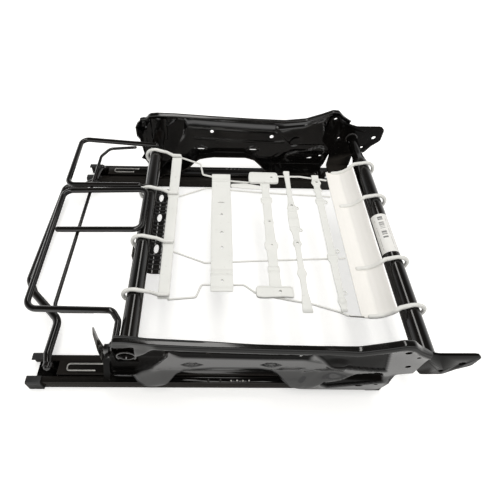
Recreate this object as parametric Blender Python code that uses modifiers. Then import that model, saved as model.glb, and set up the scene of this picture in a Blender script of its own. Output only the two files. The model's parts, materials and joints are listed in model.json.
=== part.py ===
"""Front seat cushion frame on slide rails.

X runs to the rear of the seat, Z up, and the left side of the seat is at -Y.
Sizes below are millimetres about a point midway between the two cross tubes,
and every mesh is written in metres about the middle of the frame's own box.
"""

import bmesh
import bpy
import math
import numpy as np
from mathutils import Vector

MM = 0.001

# Clearances between pieces that touch in the real frame.
WELD_GAP = 0.3
SLIDE_GAP = 0.4
PIN_GAP = 0.08

# Cross tubes.
FRONT_TUBE_X = -199.5
FRONT_TUBE_Z = 115.0
FRONT_TUBE_R = 12.0
REAR_TUBE_X = 199.5
REAR_TUBE_Z = 109.0
REAR_TUBE_R = 14.0
REAR_TUBE_NECK_R = 10.5
TUBE_WALL = 2.0
FRONT_TUBE_LIP_R = 15.5

# Slide rails.
RAIL_Y = 220.0
RAIL_FRONT_X = -357.0
RAIL_REAR_X = 166.0
RAIL_HALF_WIDTH = 21.0
RAIL_HEIGHT = 22.0
RAIL_WALL = 2.0
RAIL_MOUTH = 12.0
RAIL_LIP_BOTTOM = 15.0
UPPER_FRONT_X = -318.0
UPPER_REAR_X = 158.0
UPPER_HALF_WIDTH = 10.5
UPPER_HOOK_HALF_WIDTH = 17.6
UPPER_HOOK_TOP = 17.5
UPPER_TOP = 26.0
CAP_LENGTH = 22.0
CAP_WALL = 2.6
TOOTH_PITCH = 9.0

# Side members, pressed from sheet.
SHEET = 2.0
WEB_Y = 242.0
FOOT_WIDTH = 34.0
MEMBER_FRONT_X = -236.0
MEMBER_REAR_X = 190.0
FOOT_Z = UPPER_TOP + WELD_GAP
FRONT_FOOT_RIVETS = (-207.0, -182.0)
REAR_FOOT_RIVETS = (66.0, 138.0)
RIVET_R = 3.2
RIVET_HEAD_R = 6.0

# Recliner brackets.
BRACKET_SHEET = 3.5
BRACKET_OUTER_Y = 244.0
BRACKET_TIP_X = 263.0
FLANGE_Z = 30.0

# Wires and bars at the front.
WIRE_R = 4.5
THIN_WIRE_R = 2.7
WIRE_Z = FRONT_TUBE_Z + FRONT_TUBE_R + WIRE_R + WELD_GAP
WIRE_FRONT_X = -343.0
THIN_WIRE_X = -307.0
BAR_R = 6.2
BAR_FRONT_X = -400.0
BAR_Z = 35.0
BAR_PIVOT_X = -300.0
BAR_PIVOT_Z = 14.0
BAR_TONGUE = 3.5

# Latches inside the upper rails.
LATCH_PIVOT_X = -150.0
LATCH_PIVOT_Z = 12.0
LATCH_FRONT_X = -291.0
LATCH_REAR_X = -14.0
LATCH_BOTTOM = 6.0
LATCH_TOP = 8.0
PIN_R = 2.2

# Suspension mat.
MAT_Z = 112.0
MAT_SHEET = 2.6
MAT_WIRE_R = 1.7
FRONT_HOOK_R = 3.0
REAR_HOOK_R = 3.2
HOOK_SLACK = 1.0
FRONT_HOOK_Y = (164.0, 62.0, -48.0, -147.0)
REAR_HOOK_Y = (140.0, 53.0, -82.0, -166.0)
STRIP_X = (-168.0, -150.0)
STRIP_Y = (-151.0, 169.0)
PANEL_Y = (-176.0, 134.0)
PANEL_SHEET = 2.4
PANEL_SECTION = (
    (127.0, 103.5), (140.0, 101.5), (152.0, 102.5), (162.0, 106.5), (170.0, 113.5),
    (175.5, 121.5),
)

# The frame's box runs from the release bar to the tips of the brackets.
ORIGIN_X = 0.5 * (BAR_FRONT_X - BAR_R + BRACKET_TIP_X)

BLACK = (0.012, 0.011, 0.010, 1.0)
STEEL = (0.42, 0.42, 0.41, 1.0)
WHITE = (0.78, 0.78, 0.74, 1.0)
CREAM = (0.80, 0.77, 0.71, 1.0)


def clear_scene():
    for obj in list(bpy.data.objects):
        bpy.data.objects.remove(obj, do_unlink=True)


def new_collection(name):
    made = bpy.data.collections.new(name)
    bpy.context.scene.collection.children.link(made)
    return made


def metres(x, y, z, pivot=(ORIGIN_X, 0.0, 0.0)):
    return ((x - pivot[0]) * MM, (y - pivot[1]) * MM, (z - pivot[2]) * MM)


def paint(obj, colour, rough, metal=0.0):
    material = bpy.data.materials.new(obj.name + "_material")
    material.use_nodes = True
    shader = material.node_tree.nodes["Principled BSDF"]
    shader.inputs["Base Color"].default_value = colour
    shader.inputs["Roughness"].default_value = rough
    shader.inputs["Metallic"].default_value = metal
    material.diffuse_color = colour
    obj.data.materials.clear()
    obj.data.materials.append(material)
    return obj


def black_paint(obj):
    return paint(obj, BLACK, 0.22)


def mesh_object(name, points, faces, pivot=None, outward=True):
    """Points are in millimetres; a moving piece gets its own pivot as origin."""
    centre = pivot or (ORIGIN_X, 0.0, 0.0)
    mesh = bpy.data.meshes.new(name)
    mesh.from_pydata([metres(*p, pivot=centre) for p in points], [], faces)
    if outward:
        work = bmesh.new()
        work.from_mesh(mesh)
        bmesh.ops.recalc_face_normals(work, faces=work.faces)
        work.to_mesh(mesh)
        work.free()
    obj = bpy.data.objects.new(name, mesh)
    if pivot:
        obj.location = metres(*pivot)
    frame_parts.objects.link(obj)
    return obj


def prism(name, outline, plane, low, high, pivot=None):
    """A flat outline in plane XY, XZ or YZ, made solid from low to high."""
    order = {
        "XY": lambda a, b, c: (a, b, c),
        "XZ": lambda a, b, c: (a, c, b),
        "YZ": lambda a, b, c: (c, a, b),
    }[plane]
    count = len(outline)
    points = [order(a, b, low) for a, b in outline]
    points += [order(a, b, high) for a, b in outline]
    faces = [tuple(range(count)), tuple(range(2 * count - 1, count - 1, -1))]
    for i in range(count):
        j = (i + 1) % count
        faces.append((j, i, i + count, j + count))
    return mesh_object(name, points, faces, pivot)


def circle(a, b, radius, sides=12, stretch=1.0):
    turn = 2.0 * math.pi / sides
    return [
        (a + stretch * radius * math.cos(i * turn), b + radius * math.sin(i * turn))
        for i in range(sides)
    ]


def rounded(corners, steps=3):
    """Corners are (a, b, radius); each is replaced by a short arc."""
    done = []
    count = len(corners)
    for i in range(count):
        here = Vector(corners[i][:2])
        radius = corners[i][2]
        if radius <= 0.0:
            done.append(tuple(here))
            continue
        to_last = (Vector(corners[i - 1][:2]) - here).normalized()
        to_next = (Vector(corners[(i + 1) % count][:2]) - here).normalized()
        half = 0.5 * to_last.angle(to_next)
        back = radius / math.tan(half)
        start = here + to_last * back
        end = here + to_next * back
        middle = here + (to_last + to_next).normalized() * (radius / math.sin(half))
        for k in range(steps + 1):
            mix = start.lerp(end, k / steps) - middle
            done.append(tuple(middle + mix.normalized() * radius))
    return done


def thick_line(points, thickness):
    """The outline of a bent strip of even thickness, along an open line."""
    line = [Vector(p) for p in points]
    sides = ([], [])
    for i, here in enumerate(line):
        back = (here - line[i - 1]).normalized() if i else None
        ahead = (line[i + 1] - here).normalized() if i + 1 < len(line) else None
        first = back or ahead
        second = ahead or back
        across = Vector((-first.y - second.y, first.x + second.x)).normalized()
        reach = 0.5 * thickness / across.dot(Vector((-first.y, first.x)))
        sides[0].append(tuple(here + across * reach))
        sides[1].append(tuple(here - across * reach))
    return sides[0] + sides[1][::-1]


def bend_path(corners, steps=4):
    """Corners are (x, y, z, radius); bends are arcs of that radius."""
    done = []
    for i, corner in enumerate(corners):
        here = Vector(corner[:3])
        radius = corner[3]
        if radius <= 0.0 or i in (0, len(corners) - 1):
            done.append(here)
            continue
        to_last = (Vector(corners[i - 1][:3]) - here).normalized()
        to_next = (Vector(corners[i + 1][:3]) - here).normalized()
        half = 0.5 * to_last.angle(to_next)
        back = radius / math.tan(half)
        start = here + to_last * back
        end = here + to_next * back
        middle = here + (to_last + to_next).normalized() * (radius / math.sin(half))
        for k in range(steps + 1):
            mix = start.lerp(end, k / steps) - middle
            done.append(middle + mix.normalized() * radius)
    return done


def bar(name, path, radius, fineness=2, pivot=None):
    """Round bar swept along a path of points."""
    centre = pivot or (ORIGIN_X, 0.0, 0.0)
    curve = bpy.data.curves.new(name, "CURVE")
    curve.dimensions = "3D"
    curve.bevel_depth = radius * MM
    curve.bevel_resolution = fineness
    curve.use_fill_caps = True
    spline = curve.splines.new("POLY")
    spline.points.add(len(path) - 1)
    for point, place in zip(spline.points, path):
        point.co = (*metres(*place, pivot=centre), 1.0)
    swept = bpy.data.objects.new(name + "_path", curve)
    frame_parts.objects.link(swept)
    bpy.context.view_layer.update()
    ready = swept.evaluated_get(bpy.context.evaluated_depsgraph_get())
    mesh = bpy.data.meshes.new_from_object(ready)
    bpy.data.objects.remove(swept, do_unlink=True)
    work = bmesh.new()
    work.from_mesh(mesh)
    bmesh.ops.remove_doubles(work, verts=work.verts, dist=0.00001)
    bmesh.ops.recalc_face_normals(work, faces=work.faces)
    work.to_mesh(mesh)
    work.free()
    mesh.name = name
    obj = bpy.data.objects.new(name, mesh)
    if pivot:
        obj.location = metres(*pivot)
    frame_parts.objects.link(obj)
    return obj


def turned(name, profile, centre, axis, steps=24):
    """A closed profile of (radius, along) turned about an axis through centre."""
    mesh = bpy.data.meshes.new(name)
    if axis == "Y":
        points = [(r * MM, a * MM, 0.0) for r, a in profile]
    else:
        points = [(r * MM, 0.0, a * MM) for r, a in profile]
    count = len(profile)
    edges = [(i, (i + 1) % count) for i in range(count)]
    if profile[0][0] == 0.0:
        edges = edges[:-1]
    mesh.from_pydata(points, edges, [])
    obj = bpy.data.objects.new(name, mesh)
    frame_parts.objects.link(obj)
    screw = obj.modifiers.new("Turn", "SCREW")
    screw.axis = axis
    screw.steps = steps
    screw.render_steps = steps
    screw.use_merge_vertices = True
    screw.merge_threshold = 0.00001
    obj.location = metres(*centre)
    return obj


def cut(obj, cutters):
    """Cuts the listed solids out of the piece."""
    for cutter in cutters:
        frame_parts.objects.unlink(cutter)
        cutter_parts.objects.link(cutter)
        cutter.hide_render = True
        cutter.display_type = "WIRE"
        hole = obj.modifiers.new("Cut " + cutter.name, "BOOLEAN")
        hole.operation = "DIFFERENCE"
        hole.solver = "EXACT"
        hole.object = cutter
    return obj


def joined(name, pieces):
    """Several overlapping solids made into one closed body."""
    base = pieces[0]
    for piece in pieces[1:]:
        frame_parts.objects.unlink(piece)
        cutter_parts.objects.link(piece)
        piece.hide_render = True
        piece.display_type = "WIRE"
        union = base.modifiers.new("Join " + piece.name, "BOOLEAN")
        union.operation = "UNION"
        union.solver = "EXACT"
        union.object = piece
    base.name = name
    return base


def along(table, x):
    return float(np.interp(x, [row[0] for row in table], [row[1] for row in table]))


def ease(t):
    t = min(max(t, 0.0), 1.0)
    return t * t * (3.0 - 2.0 * t)


# Edges of the pressed web, and where its face stands from front to rear.
MEMBER_BOTTOM = (
    (MEMBER_FRONT_X, 46.0), (-232.0, 34.0), (-224.0, FOOT_Z), (-166.0, FOOT_Z),
    (-152.0, 36.0), (-138.0, 53.0), (-120.0, 63.0), (-88.0, 68.0), (-20.0, 68.0),
    (-2.0, 62.0), (13.0, 46.0), (28.0, 32.0), (42.0, FOOT_Z), (152.0, FOOT_Z),
    (160.0, 34.0), (168.0, 74.0), (MEMBER_REAR_X, 80.0),
)
MEMBER_TOP = (
    (MEMBER_FRONT_X, 143.0), (-230.0, 155.0), (-219.0, 161.0), (-200.0, 163.0),
    (-100.0, 156.0), (-8.0, 151.0), (53.0, 149.0), (98.0, 152.0), (130.0, 164.0),
    (148.0, 172.0), (160.0, 171.0), (172.0, 159.0), (MEMBER_REAR_X, 147.0),
)
SHOULDER_Y = ((MEMBER_FRONT_X, 244.0), (-200.0, 246.0), (-110.0, 250.0), (MEMBER_REAR_X, 249.0))
CREASE_Z = ((-150.0, 138.0), (-130.0, 103.0), (70.0, 98.0), (100.0, 110.0))
BAND_Y = (
    (-162.0, WEB_Y), (-134.0, 236.5), (40.0, 236.0), (70.0, 241.0), (100.0, 245.0),
    (135.0, 247.5),
)
FOOT_Y = ((-150.0, 249.0), (60.0, 252.0), (165.0, 253.0))
FOOT_BREAK_Z = ((-175.0, 46.0), (-150.0, 60.0), (50.0, 62.0), (80.0, 78.0), (165.0, 70.0))
FOOT_BREAK_DEPTH = ((-175.0, 20.0), (-150.0, 34.0), (50.0, 34.0), (80.0, 14.0))
TOP_WIDTH = (
    (MEMBER_FRONT_X, 3.0), (-232.0, 5.0), (-224.0, 10.0), (-214.0, 14.0),
    (-110.0, 16.0), (-30.0, 12.0), (60.0, 10.0), (160.0, 10.0), (MEMBER_REAR_X, 5.0),
)
FOOT_REACH = (
    (-232.0, 3.0), (-224.0, 10.0), (-217.0, FOOT_WIDTH), (-139.0, FOOT_WIDTH),
    (-130.0, 25.0), (-118.0, 18.0), (-104.0, 16.0), (2.0, 16.0), (13.0, 22.0),
    (23.0, FOOT_WIDTH),
    (145.0, FOOT_WIDTH), (152.0, 10.0), (160.0, 3.0), (168.0, 0.6),
)
EAR = ((-238.5, 4.0, 62.0, 143.5), (-241.5, 15.0, 104.0, 147.5), (-244.5, 33.0, 128.0, 149.0))
COLUMNS = (
    -236, -232, -224, -217, -204, -190, -178, -166, -152, -138, -120, -104, -88, -54,
    -20, -2, 13, 28, 42, 52, 66, 78, 92, 106, 120, 134, 145, 152, 160, 168, 190,
)
LEVELS = (0.0, 0.1, 0.22, 0.34, 0.46, 0.58, 0.7, 0.82, 0.92, 1.0)


def web_offset(x, z):
    """How far outboard the pressed web stands at a place on the side member."""
    band = along(BAND_Y, x)
    crease = along(CREASE_Z, x)
    shoulder = along(MEMBER_TOP, x) - 12.0
    rise = min(max((z - crease) / (shoulder - crease), 0.0), 1.0)
    face = band + (along(SHOULDER_Y, x) - band) * rise
    drop = ease((along(FOOT_BREAK_Z, x) - z) / along(FOOT_BREAK_DEPTH, x))
    face += (along(FOOT_Y, x) - band) * drop
    well = 4.5 * ease(1.4 - math.hypot(x - 84.0, z - 98.0) / 14.0)
    pocket = -3.0 * ease((x - 64.0) / 9.0) * ease((156.0 - x) / 9.0)
    pocket *= ease((z - 34.0) / 6.0) * ease((60.0 - z) / 6.0)
    return face + well + pocket


def member_section(x):
    """One section across the side member, from the foot's edge up to the flange."""
    low = along(MEMBER_BOTTOM, x)
    high = along(MEMBER_TOP, x)
    foot_y = web_offset(x, low)
    section = [
        (x, foot_y - 2.5 - along(FOOT_REACH, x), low),
        (x, foot_y - 2.5, low),
    ]
    for level in LEVELS:
        z = low + 2.5 + level * (high - 4.0 - low - 2.5)
        section.append((x, web_offset(x, z), z))
    top_y = web_offset(x, high)
    width = along(TOP_WIDTH, x)
    curl = min(4.0, 0.6 * width)
    section.append((x, top_y - 0.3 * curl, high - 0.3 * curl))
    section.append((x, top_y - curl, high))
    section.append((x, top_y - width, high))
    return section


def ear_section(x, inset, low, high):
    rows = len(LEVELS) + 5
    return [(x, WEB_Y - inset, low + (high - low) * i / (rows - 1)) for i in range(rows)]


def side_member(name, side):
    sections = [ear_section(*ear) for ear in reversed(EAR)]
    sections += [member_section(float(x)) for x in COLUMNS]
    rows = len(sections[0])
    points = [(x, side * y, z) for section in sections for x, y, z in section]
    faces = []
    for i in range(len(sections) - 1):
        for j in range(rows - 1):
            a = i * rows + j
            face = (a, a + 1, a + rows + 1, a + rows)
            faces.append(face if side > 0 else face[::-1])
    obj = mesh_object(name, points, faces, outward=False)
    sheet = obj.modifiers.new("Sheet", "SOLIDIFY")
    sheet.thickness = SHEET * MM
    sheet.offset = -1.0
    sheet.use_even_offset = True
    near, far = sorted((side * (WEB_Y - 16.0), side * (WEB_Y + 24.0)))
    lens = ((-10.6, 0.0), (-5.2, 2.1), (5.2, 2.1), (10.6, 0.0), (5.2, -2.1), (-5.2, -2.1))
    holes = [circle(FRONT_TUBE_X, FRONT_TUBE_Z, FRONT_TUBE_R + WELD_GAP, 24)]
    for x in (-115.0, -5.0):
        holes.append([(x + a, 80.4 + b) for a, b in lens])
    holes.append(circle(-92.0, 122.0, 3.6))
    holes.append(circle(31.5, 112.0, 4.0))
    holes.append(circle(124.0, 46.0, 2.4, 8, 2.4))
    holes.append(circle(147.0, 52.0, 2.0, 8, 1.5))
    holes += [circle(x, z, r) for x, z, r in BRACKET_HOLES[:3]]
    cutters = [
        prism(f"{name}_hole_{i}", hole, "XZ", near, far) for i, hole in enumerate(holes)
    ]
    for i, x in enumerate(FRONT_FOOT_RIVETS + REAR_FOOT_RIVETS):
        drill = circle(x, side * RAIL_Y, RIVET_R + WELD_GAP)
        cutters.append(prism(f"{name}_drill_{i}", drill, "XY", FOOT_Z - 2.0, FOOT_Z + 5.0))
    return black_paint(cut(obj, cutters))


BRACKET_HOLES = (
    (157.0, 152.0, 4.2), (176.0, 137.0, 2.6), (174.0, 106.0, 3.8),
    (247.0, 109.0, 4.6), (229.0, 84.0, 3.4),
)


def recliner_bracket(name, side):
    """Plate welded inside the rear of the side member; the right one has a lower flange."""
    outer = BRACKET_OUTER_Y
    faces = sorted((side * outer, side * (outer - BRACKET_SHEET)))
    lower = [(140.0, 100.0, 8.0), (191.0, 90.0, 6.0), (206.0, 69.0, 8.0)]
    if side > 0:
        lower = [
            (140.0, 100.0, 8.0), (158.0, 80.0, 6.0), (164.0, 62.0, 6.0),
            (164.0, FLANGE_Z + 1.0, 2.0), (214.0, FLANGE_Z + 1.0, 6.0), (214.0, 68.0, 8.0),
        ]
    outline = rounded(lower + [
        (237.0, 70.0, 8.0), (248.0, 88.0, 10.0), (BRACKET_TIP_X, 102.0, 10.0),
        (BRACKET_TIP_X, 136.0, 11.0), (205.0, 135.5, 16.0), (174.0, 146.0, 8.0),
        (163.0, 160.0, 6.0), (147.0, 160.0, 10.0),
    ])
    plate = prism(name, outline, "XZ", *faces)
    if side > 0:
        flange = rounded([
            (164.5, outer - 0.5, 0.0), (164.5, 208.0, 5.0), (187.0, 210.0, 12.0),
            (207.0, 224.0, 14.0), (213.0, outer - 0.5, 0.0),
        ])
        shelf = prism(name + "_flange", flange, "XY", FLANGE_Z, FLANGE_Z + BRACKET_SHEET)
        plate = joined(name, [plate, shelf])
    near, far = sorted((side * (outer - 16.0), side * (outer + 4.0)))
    holes = [
        prism(f"{name}_hole_{i}", circle(x, z, r), "XZ", near, far)
        for i, (x, z, r) in enumerate(BRACKET_HOLES)
    ]
    return black_paint(cut(plate, holes))


def front_cross_tube():
    """Passes through both webs; each end is opened out against the web."""
    end = WEB_Y + WELD_GAP + 2.2
    neck = WEB_Y + WELD_GAP
    bore = FRONT_TUBE_R - TUBE_WALL
    profile = [
        (FRONT_TUBE_LIP_R, end), (FRONT_TUBE_LIP_R, neck), (FRONT_TUBE_R, neck),
        (FRONT_TUBE_R, -neck), (FRONT_TUBE_LIP_R, -neck), (FRONT_TUBE_LIP_R, -end),
        (FRONT_TUBE_R, -end), (bore, 6.0 - end), (bore, end - 6.0), (FRONT_TUBE_R, end),
    ]
    tube = turned("front_cross_tube", profile, (FRONT_TUBE_X, 0.0, FRONT_TUBE_Z), "Y")
    return black_paint(tube)


def rear_cross_tube():
    """Butts on both brackets; the right-hand end is drawn down to a neck."""
    end = BRACKET_OUTER_Y - BRACKET_SHEET - WELD_GAP
    bore = REAR_TUBE_R - TUBE_WALL
    neck_bore = REAR_TUBE_NECK_R - TUBE_WALL
    profile = [
        (REAR_TUBE_NECK_R, end), (REAR_TUBE_NECK_R, 176.0), (REAR_TUBE_R, 160.0),
        (REAR_TUBE_R, -end), (bore, -end), (bore, 160.0), (neck_bore, 176.0),
        (neck_bore, end),
    ]
    tube = turned("rear_cross_tube", profile, (REAR_TUBE_X, 0.0, REAR_TUBE_Z), "Y")
    return black_paint(tube)


def lower_rail(name, side):
    half = RAIL_HALF_WIDTH
    inner = half - RAIL_WALL
    lip = RAIL_MOUTH + RAIL_WALL
    under = RAIL_HEIGHT - RAIL_WALL
    right = [
        (half, 0.0), (half, RAIL_HEIGHT), (RAIL_MOUTH, RAIL_HEIGHT),
        (RAIL_MOUTH, RAIL_LIP_BOTTOM), (lip, RAIL_LIP_BOTTOM), (lip, under),
        (inner, under), (inner, RAIL_WALL),
    ]
    section = right + [(-a, b) for a, b in reversed(right)]
    section = [(side * RAIL_Y + a, b) for a, b in section]
    rail = prism(name, section, "YZ", RAIL_FRONT_X, RAIL_REAR_X)
    cutters = []
    for i in range(4):
        x = -58.0 + i * TOOTH_PITCH
        y = side * (RAIL_Y + 0.5 * (RAIL_MOUTH + half) + 0.5)
        window = circle(x, y, 2.0, 8)
        cutters.append(prism(f"{name}_window_{i}", window, "XY", under - 1.0, RAIL_HEIGHT + 1.0))
    for i, x in enumerate((RAIL_FRONT_X + 34.0, RAIL_REAR_X - 34.0)):
        bolt = circle(x, side * RAIL_Y, 4.2)
        cutters.append(prism(f"{name}_bolt_{i}", bolt, "XY", -1.0, RAIL_WALL + 1.0))
    return black_paint(cut(rail, cutters))


def rail_cap(name, side, edge, x_end, direction):
    """Plastic cap over one lip of a lower rail, clear of the sliding rail."""
    inside = RAIL_HALF_WIDTH + WELD_GAP
    outside = inside + CAP_WALL
    top = RAIL_HEIGHT + WELD_GAP + CAP_WALL
    section = [
        (outside, 0.0), (outside, top - 2.0), (outside - 2.0, top),
        (RAIL_MOUTH + 0.4, top), (RAIL_MOUTH + 0.4, RAIL_HEIGHT + WELD_GAP),
        (inside, RAIL_HEIGHT + WELD_GAP), (inside, 0.0),
    ]
    centre = side * RAIL_Y
    section = [(centre + edge * a, b) for a, b in section]
    ends = sorted((x_end + direction * 5.0, x_end - direction * (CAP_LENGTH - 5.0)))
    shell = prism(name, section, "YZ", *ends)
    nose = [
        (outside - 0.5, 0.2), (outside - 0.5, top - 3.0), (RAIL_MOUTH + 7.6, top - 0.5),
        (RAIL_MOUTH + 7.6, 0.2),
    ]
    nose = [(centre + edge * a, b) for a, b in nose]
    ends = sorted((x_end + direction * 4.6, x_end + direction * WELD_GAP))
    front = prism(name + "_nose", nose, "YZ", *ends)
    return paint(joined(name, [shell, front]), BLACK, 0.55)


def upper_rail(name, side):
    half = UPPER_HALF_WIDTH
    hook = UPPER_HOOK_HALF_WIDTH
    wall = RAIL_WALL
    base = RAIL_WALL + SLIDE_GAP
    right = [
        (half, UPPER_TOP), (half, base + wall), (hook - wall, base + wall),
        (hook - wall, UPPER_HOOK_TOP), (hook, UPPER_HOOK_TOP), (hook, base),
        (half - wall, base), (half - wall, UPPER_TOP - wall),
    ]
    section = right + [(-a, b) for a, b in reversed(right)]
    section = [(side * RAIL_Y + a, b) for a, b in section]
    rail = prism(name, section, "YZ", UPPER_FRONT_X, UPPER_REAR_X)
    cutters = []
    for i, x in enumerate(FRONT_FOOT_RIVETS + REAR_FOOT_RIVETS):
        drill = circle(x, side * RAIL_Y, RIVET_R + WELD_GAP)
        low = UPPER_TOP - wall - 1.0
        cutters.append(prism(f"{name}_drill_{i}", drill, "XY", low, UPPER_TOP + 1.0))
    for i, z in enumerate((BAR_PIVOT_Z, LATCH_PIVOT_Z)):
        x = (BAR_PIVOT_X, LATCH_PIVOT_X)[i]
        ends = sorted((side * (RAIL_Y - half - 1.0), side * (RAIL_Y + half + 1.0)))
        pin = circle(x, z, PIN_R + WELD_GAP)
        cutters.append(prism(f"{name}_pin_{i}", pin, "XZ", *ends))
    return black_paint(cut(rail, cutters))


def foot_rivet(name, x, side):
    """Rivet through the foot of the side member and the top of the upper rail."""
    top = FOOT_Z + SHEET + WELD_GAP
    low = UPPER_TOP - RAIL_WALL - WELD_GAP
    profile = [
        (0.0, top + 2.4), (4.0, top + 2.0), (RIVET_HEAD_R, top), (RIVET_R, top),
        (RIVET_R, low), (5.0, low), (5.0, low - 1.2), (0.0, low - 1.2),
    ]
    return black_paint(turned(name, profile, (x, side * RAIL_Y, 0.0), "Z", 12))


def cross_pin(name, x, z, side):
    """Pin across an upper rail, on which a lever turns."""
    reach = UPPER_HALF_WIDTH + 0.4
    ends = sorted((side * (RAIL_Y - reach), side * (RAIL_Y + reach)))
    return paint(prism(name, circle(x, z, PIN_R), "XZ", *ends), STEEL, 0.4, 1.0)


def latch(name, side):
    """Toothed lever inside the upper rail; the teeth stay clear of the lower rail."""
    outline = [(LATCH_FRONT_X, LATCH_BOTTOM)]
    for i in range(4):
        x = -58.0 + i * TOOTH_PITCH
        outline += [(x, LATCH_BOTTOM), (x + 0.8, 4.0), (x + 3.8, 4.0), (x + 4.6, LATCH_BOTTOM)]
    outline += [
        (LATCH_REAR_X, LATCH_BOTTOM), (LATCH_REAR_X, LATCH_TOP), (-132.0, LATCH_TOP),
        (-142.0, 15.0), (-146.0, 17.0), (-154.0, 17.0), (-158.0, 15.0),
        (-168.0, LATCH_TOP), (LATCH_FRONT_X, LATCH_TOP),
    ]
    pivot = (LATCH_PIVOT_X, side * RAIL_Y, LATCH_PIVOT_Z)
    ends = sorted((side * (RAIL_Y - 6.0), side * (RAIL_Y + 6.0)))
    lever = prism(name, outline, "XZ", *ends, pivot=pivot)
    drill = circle(LATCH_PIVOT_X, LATCH_PIVOT_Z, PIN_R + PIN_GAP)
    ends = sorted((side * (RAIL_Y - 9.0), side * (RAIL_Y + 9.0)))
    lever = cut(lever, [prism(name + "_drill", drill, "XZ", *ends)])
    return paint(lever, STEEL, 0.35, 1.0)


def latch_spring(name, side):
    """Hairpin of spring wire lying on the front of the upper rail."""
    z = UPPER_TOP + WELD_GAP + 1.2
    y = side * RAIL_Y
    path = bend_path([
        (-262.0, y - 5.0, z, 0.0), (-304.0, y - 5.0, z, 4.0), (-304.0, y + 5.0, z, 4.0),
        (-252.0, y + 5.0, z, 0.0),
    ], 3)
    return paint(bar(name, path, 1.2, 1), STEEL, 0.35, 1.0)


def release_bar():
    """Bent tube across the front, with flattened ends pivoted in both rails."""
    pivot = (BAR_PIVOT_X, 0.0, BAR_PIVOT_Z)
    ends = [(-331.0, RAIL_Y + 3.0, 33.0, 0.0), (-335.5, 203.0, BAR_Z, 10.0)]
    right = ends + [
        (-337.0, 178.0, BAR_Z, 12.0), (-356.0, 162.5, BAR_Z, 12.0),
        (BAR_FRONT_X + 6.0, 158.5, BAR_Z, 12.0),
    ]
    left = ends + [
        (-333.5, 147.0, BAR_Z, 22.0), (-386.0, 97.0, BAR_Z, 14.0), (BAR_FRONT_X, 72.0, BAR_Z, 14.0),
    ]
    left = [(x, -y, z, r) for x, y, z, r in left]
    tube = bar("slide_release_bar", bend_path(left + right[::-1], 3), BAR_R, 2, pivot)
    pieces = [tube]
    for side in (-1.0, 1.0):
        outline = [
            (BAR_PIVOT_X + 12.0, 10.6), (BAR_PIVOT_X + 12.0, 17.4), (-318.0, 17.4),
            (-322.0, 22.0), (-323.5, 36.0), (-327.0, 40.6), (-335.0, 40.6), (-339.0, 36.0),
            (-338.0, 16.0), (-333.0, 10.6),
        ]
        ends = sorted((side * (RAIL_Y - BAR_TONGUE), side * (RAIL_Y + BAR_TONGUE)))
        name = f"slide_release_bar_tongue_{int(side > 0)}"
        pieces.append(prism(name, outline, "XZ", *ends, pivot=pivot))
    whole = joined("slide_release_bar", pieces)
    drill = circle(BAR_PIVOT_X, BAR_PIVOT_Z, PIN_R + PIN_GAP)
    far = RAIL_Y + 20.0
    return black_paint(cut(whole, [prism("release_bar_drill", drill, "XZ", -far, far)]))


def front_wire_left():
    """One wire: out along the near side, across, back, along the tube, out again."""
    near_y = -180.0
    tube_x = FRONT_TUBE_X - 3.0
    side_x = FRONT_TUBE_X - FRONT_TUBE_R - WIRE_R
    end_x = WIRE_FRONT_X + 2.0 * WIRE_R + WELD_GAP
    return black_paint(bar("front_wire_left", bend_path([
        (side_x, -225.0, 121.0, 0.0), (side_x, -191.0, 121.0, 7.0),
        (-224.0, near_y - 1.0, WIRE_Z, 9.0),
        (WIRE_FRONT_X, near_y + 1.0, WIRE_Z, 15.0), (WIRE_FRONT_X, 49.0, WIRE_Z, 15.0),
        (tube_x, 54.0, WIRE_Z, 13.0), (tube_x, -36.0, WIRE_Z, 13.0),
        (end_x, -38.0, WIRE_Z, 0.0),
    ]), WIRE_R))


def front_wire_right():
    far_y = 176.0
    return black_paint(bar("front_wire_right", bend_path([
        (FRONT_TUBE_X + 2.0, far_y, WIRE_Z, 0.0), (WIRE_FRONT_X, far_y + 15.0, WIRE_Z, 13.0),
        (WIRE_FRONT_X, 64.0, WIRE_Z, 13.0), (FRONT_TUBE_X - 18.0, 65.0, WIRE_Z, 0.0),
    ]), WIRE_R))


def front_support_wire():
    """Thin U wire under the two loops of the front."""
    z = WIRE_Z - WIRE_R - THIN_WIRE_R - WELD_GAP
    return black_paint(bar("front_support_wire", bend_path([
        (-252.0, -179.0, z, 0.0), (THIN_WIRE_X, -179.0, z, 13.0), (-301.0, 150.0, z, 13.0),
        (-288.0, 172.0, z, 12.0), (-240.0, 178.0, z, 0.0),
    ]), THIN_WIRE_R))


def front_bracket_plate():
    """Pressed plate under the front tube, with a tab that clips its front."""
    section = [
        (-207.0, 100.0), (-190.0, 100.0), (-184.0, 97.0), (-170.0, 97.0),
        (-164.0, 94.5), (-154.0, 94.5),
    ]
    plate = prism("front_bracket_plate", thick_line(section, 2.0), "XZ", -98.0, 88.0)
    hook = [(-196.0, 100.0), (-208.0, 100.0), (-213.2, 105.0), (-213.2, 118.0)]
    tab = prism("front_bracket_plate_tab", thick_line(hook, 1.8), "XZ", -78.0, -60.0)
    slots = []
    for i, (x, y) in enumerate(((-182.0, 66.0), (-181.0, 18.0), (-180.0, -50.0))):
        slot = circle(x, y, 4.0, 10)
        slot = [(a, y + 2.4 * (b - y)) for a, b in slot]
        slots.append(prism(f"front_plate_slot_{i}", slot, "XY", 90.0, 104.0))
    return black_paint(cut(joined("front_bracket_plate", [plate, tab]), slots))


def mat_wire(name, points):
    """Coated wire of the mat, running under the moulded strips."""
    z = MAT_Z - 0.5 * MAT_SHEET - WELD_GAP - MAT_WIRE_R
    path = bend_path([(x, y, z, 5.0) for x, y in points], 2)
    return paint(bar(name, path, MAT_WIRE_R, 1), WHITE, 0.4)


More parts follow.
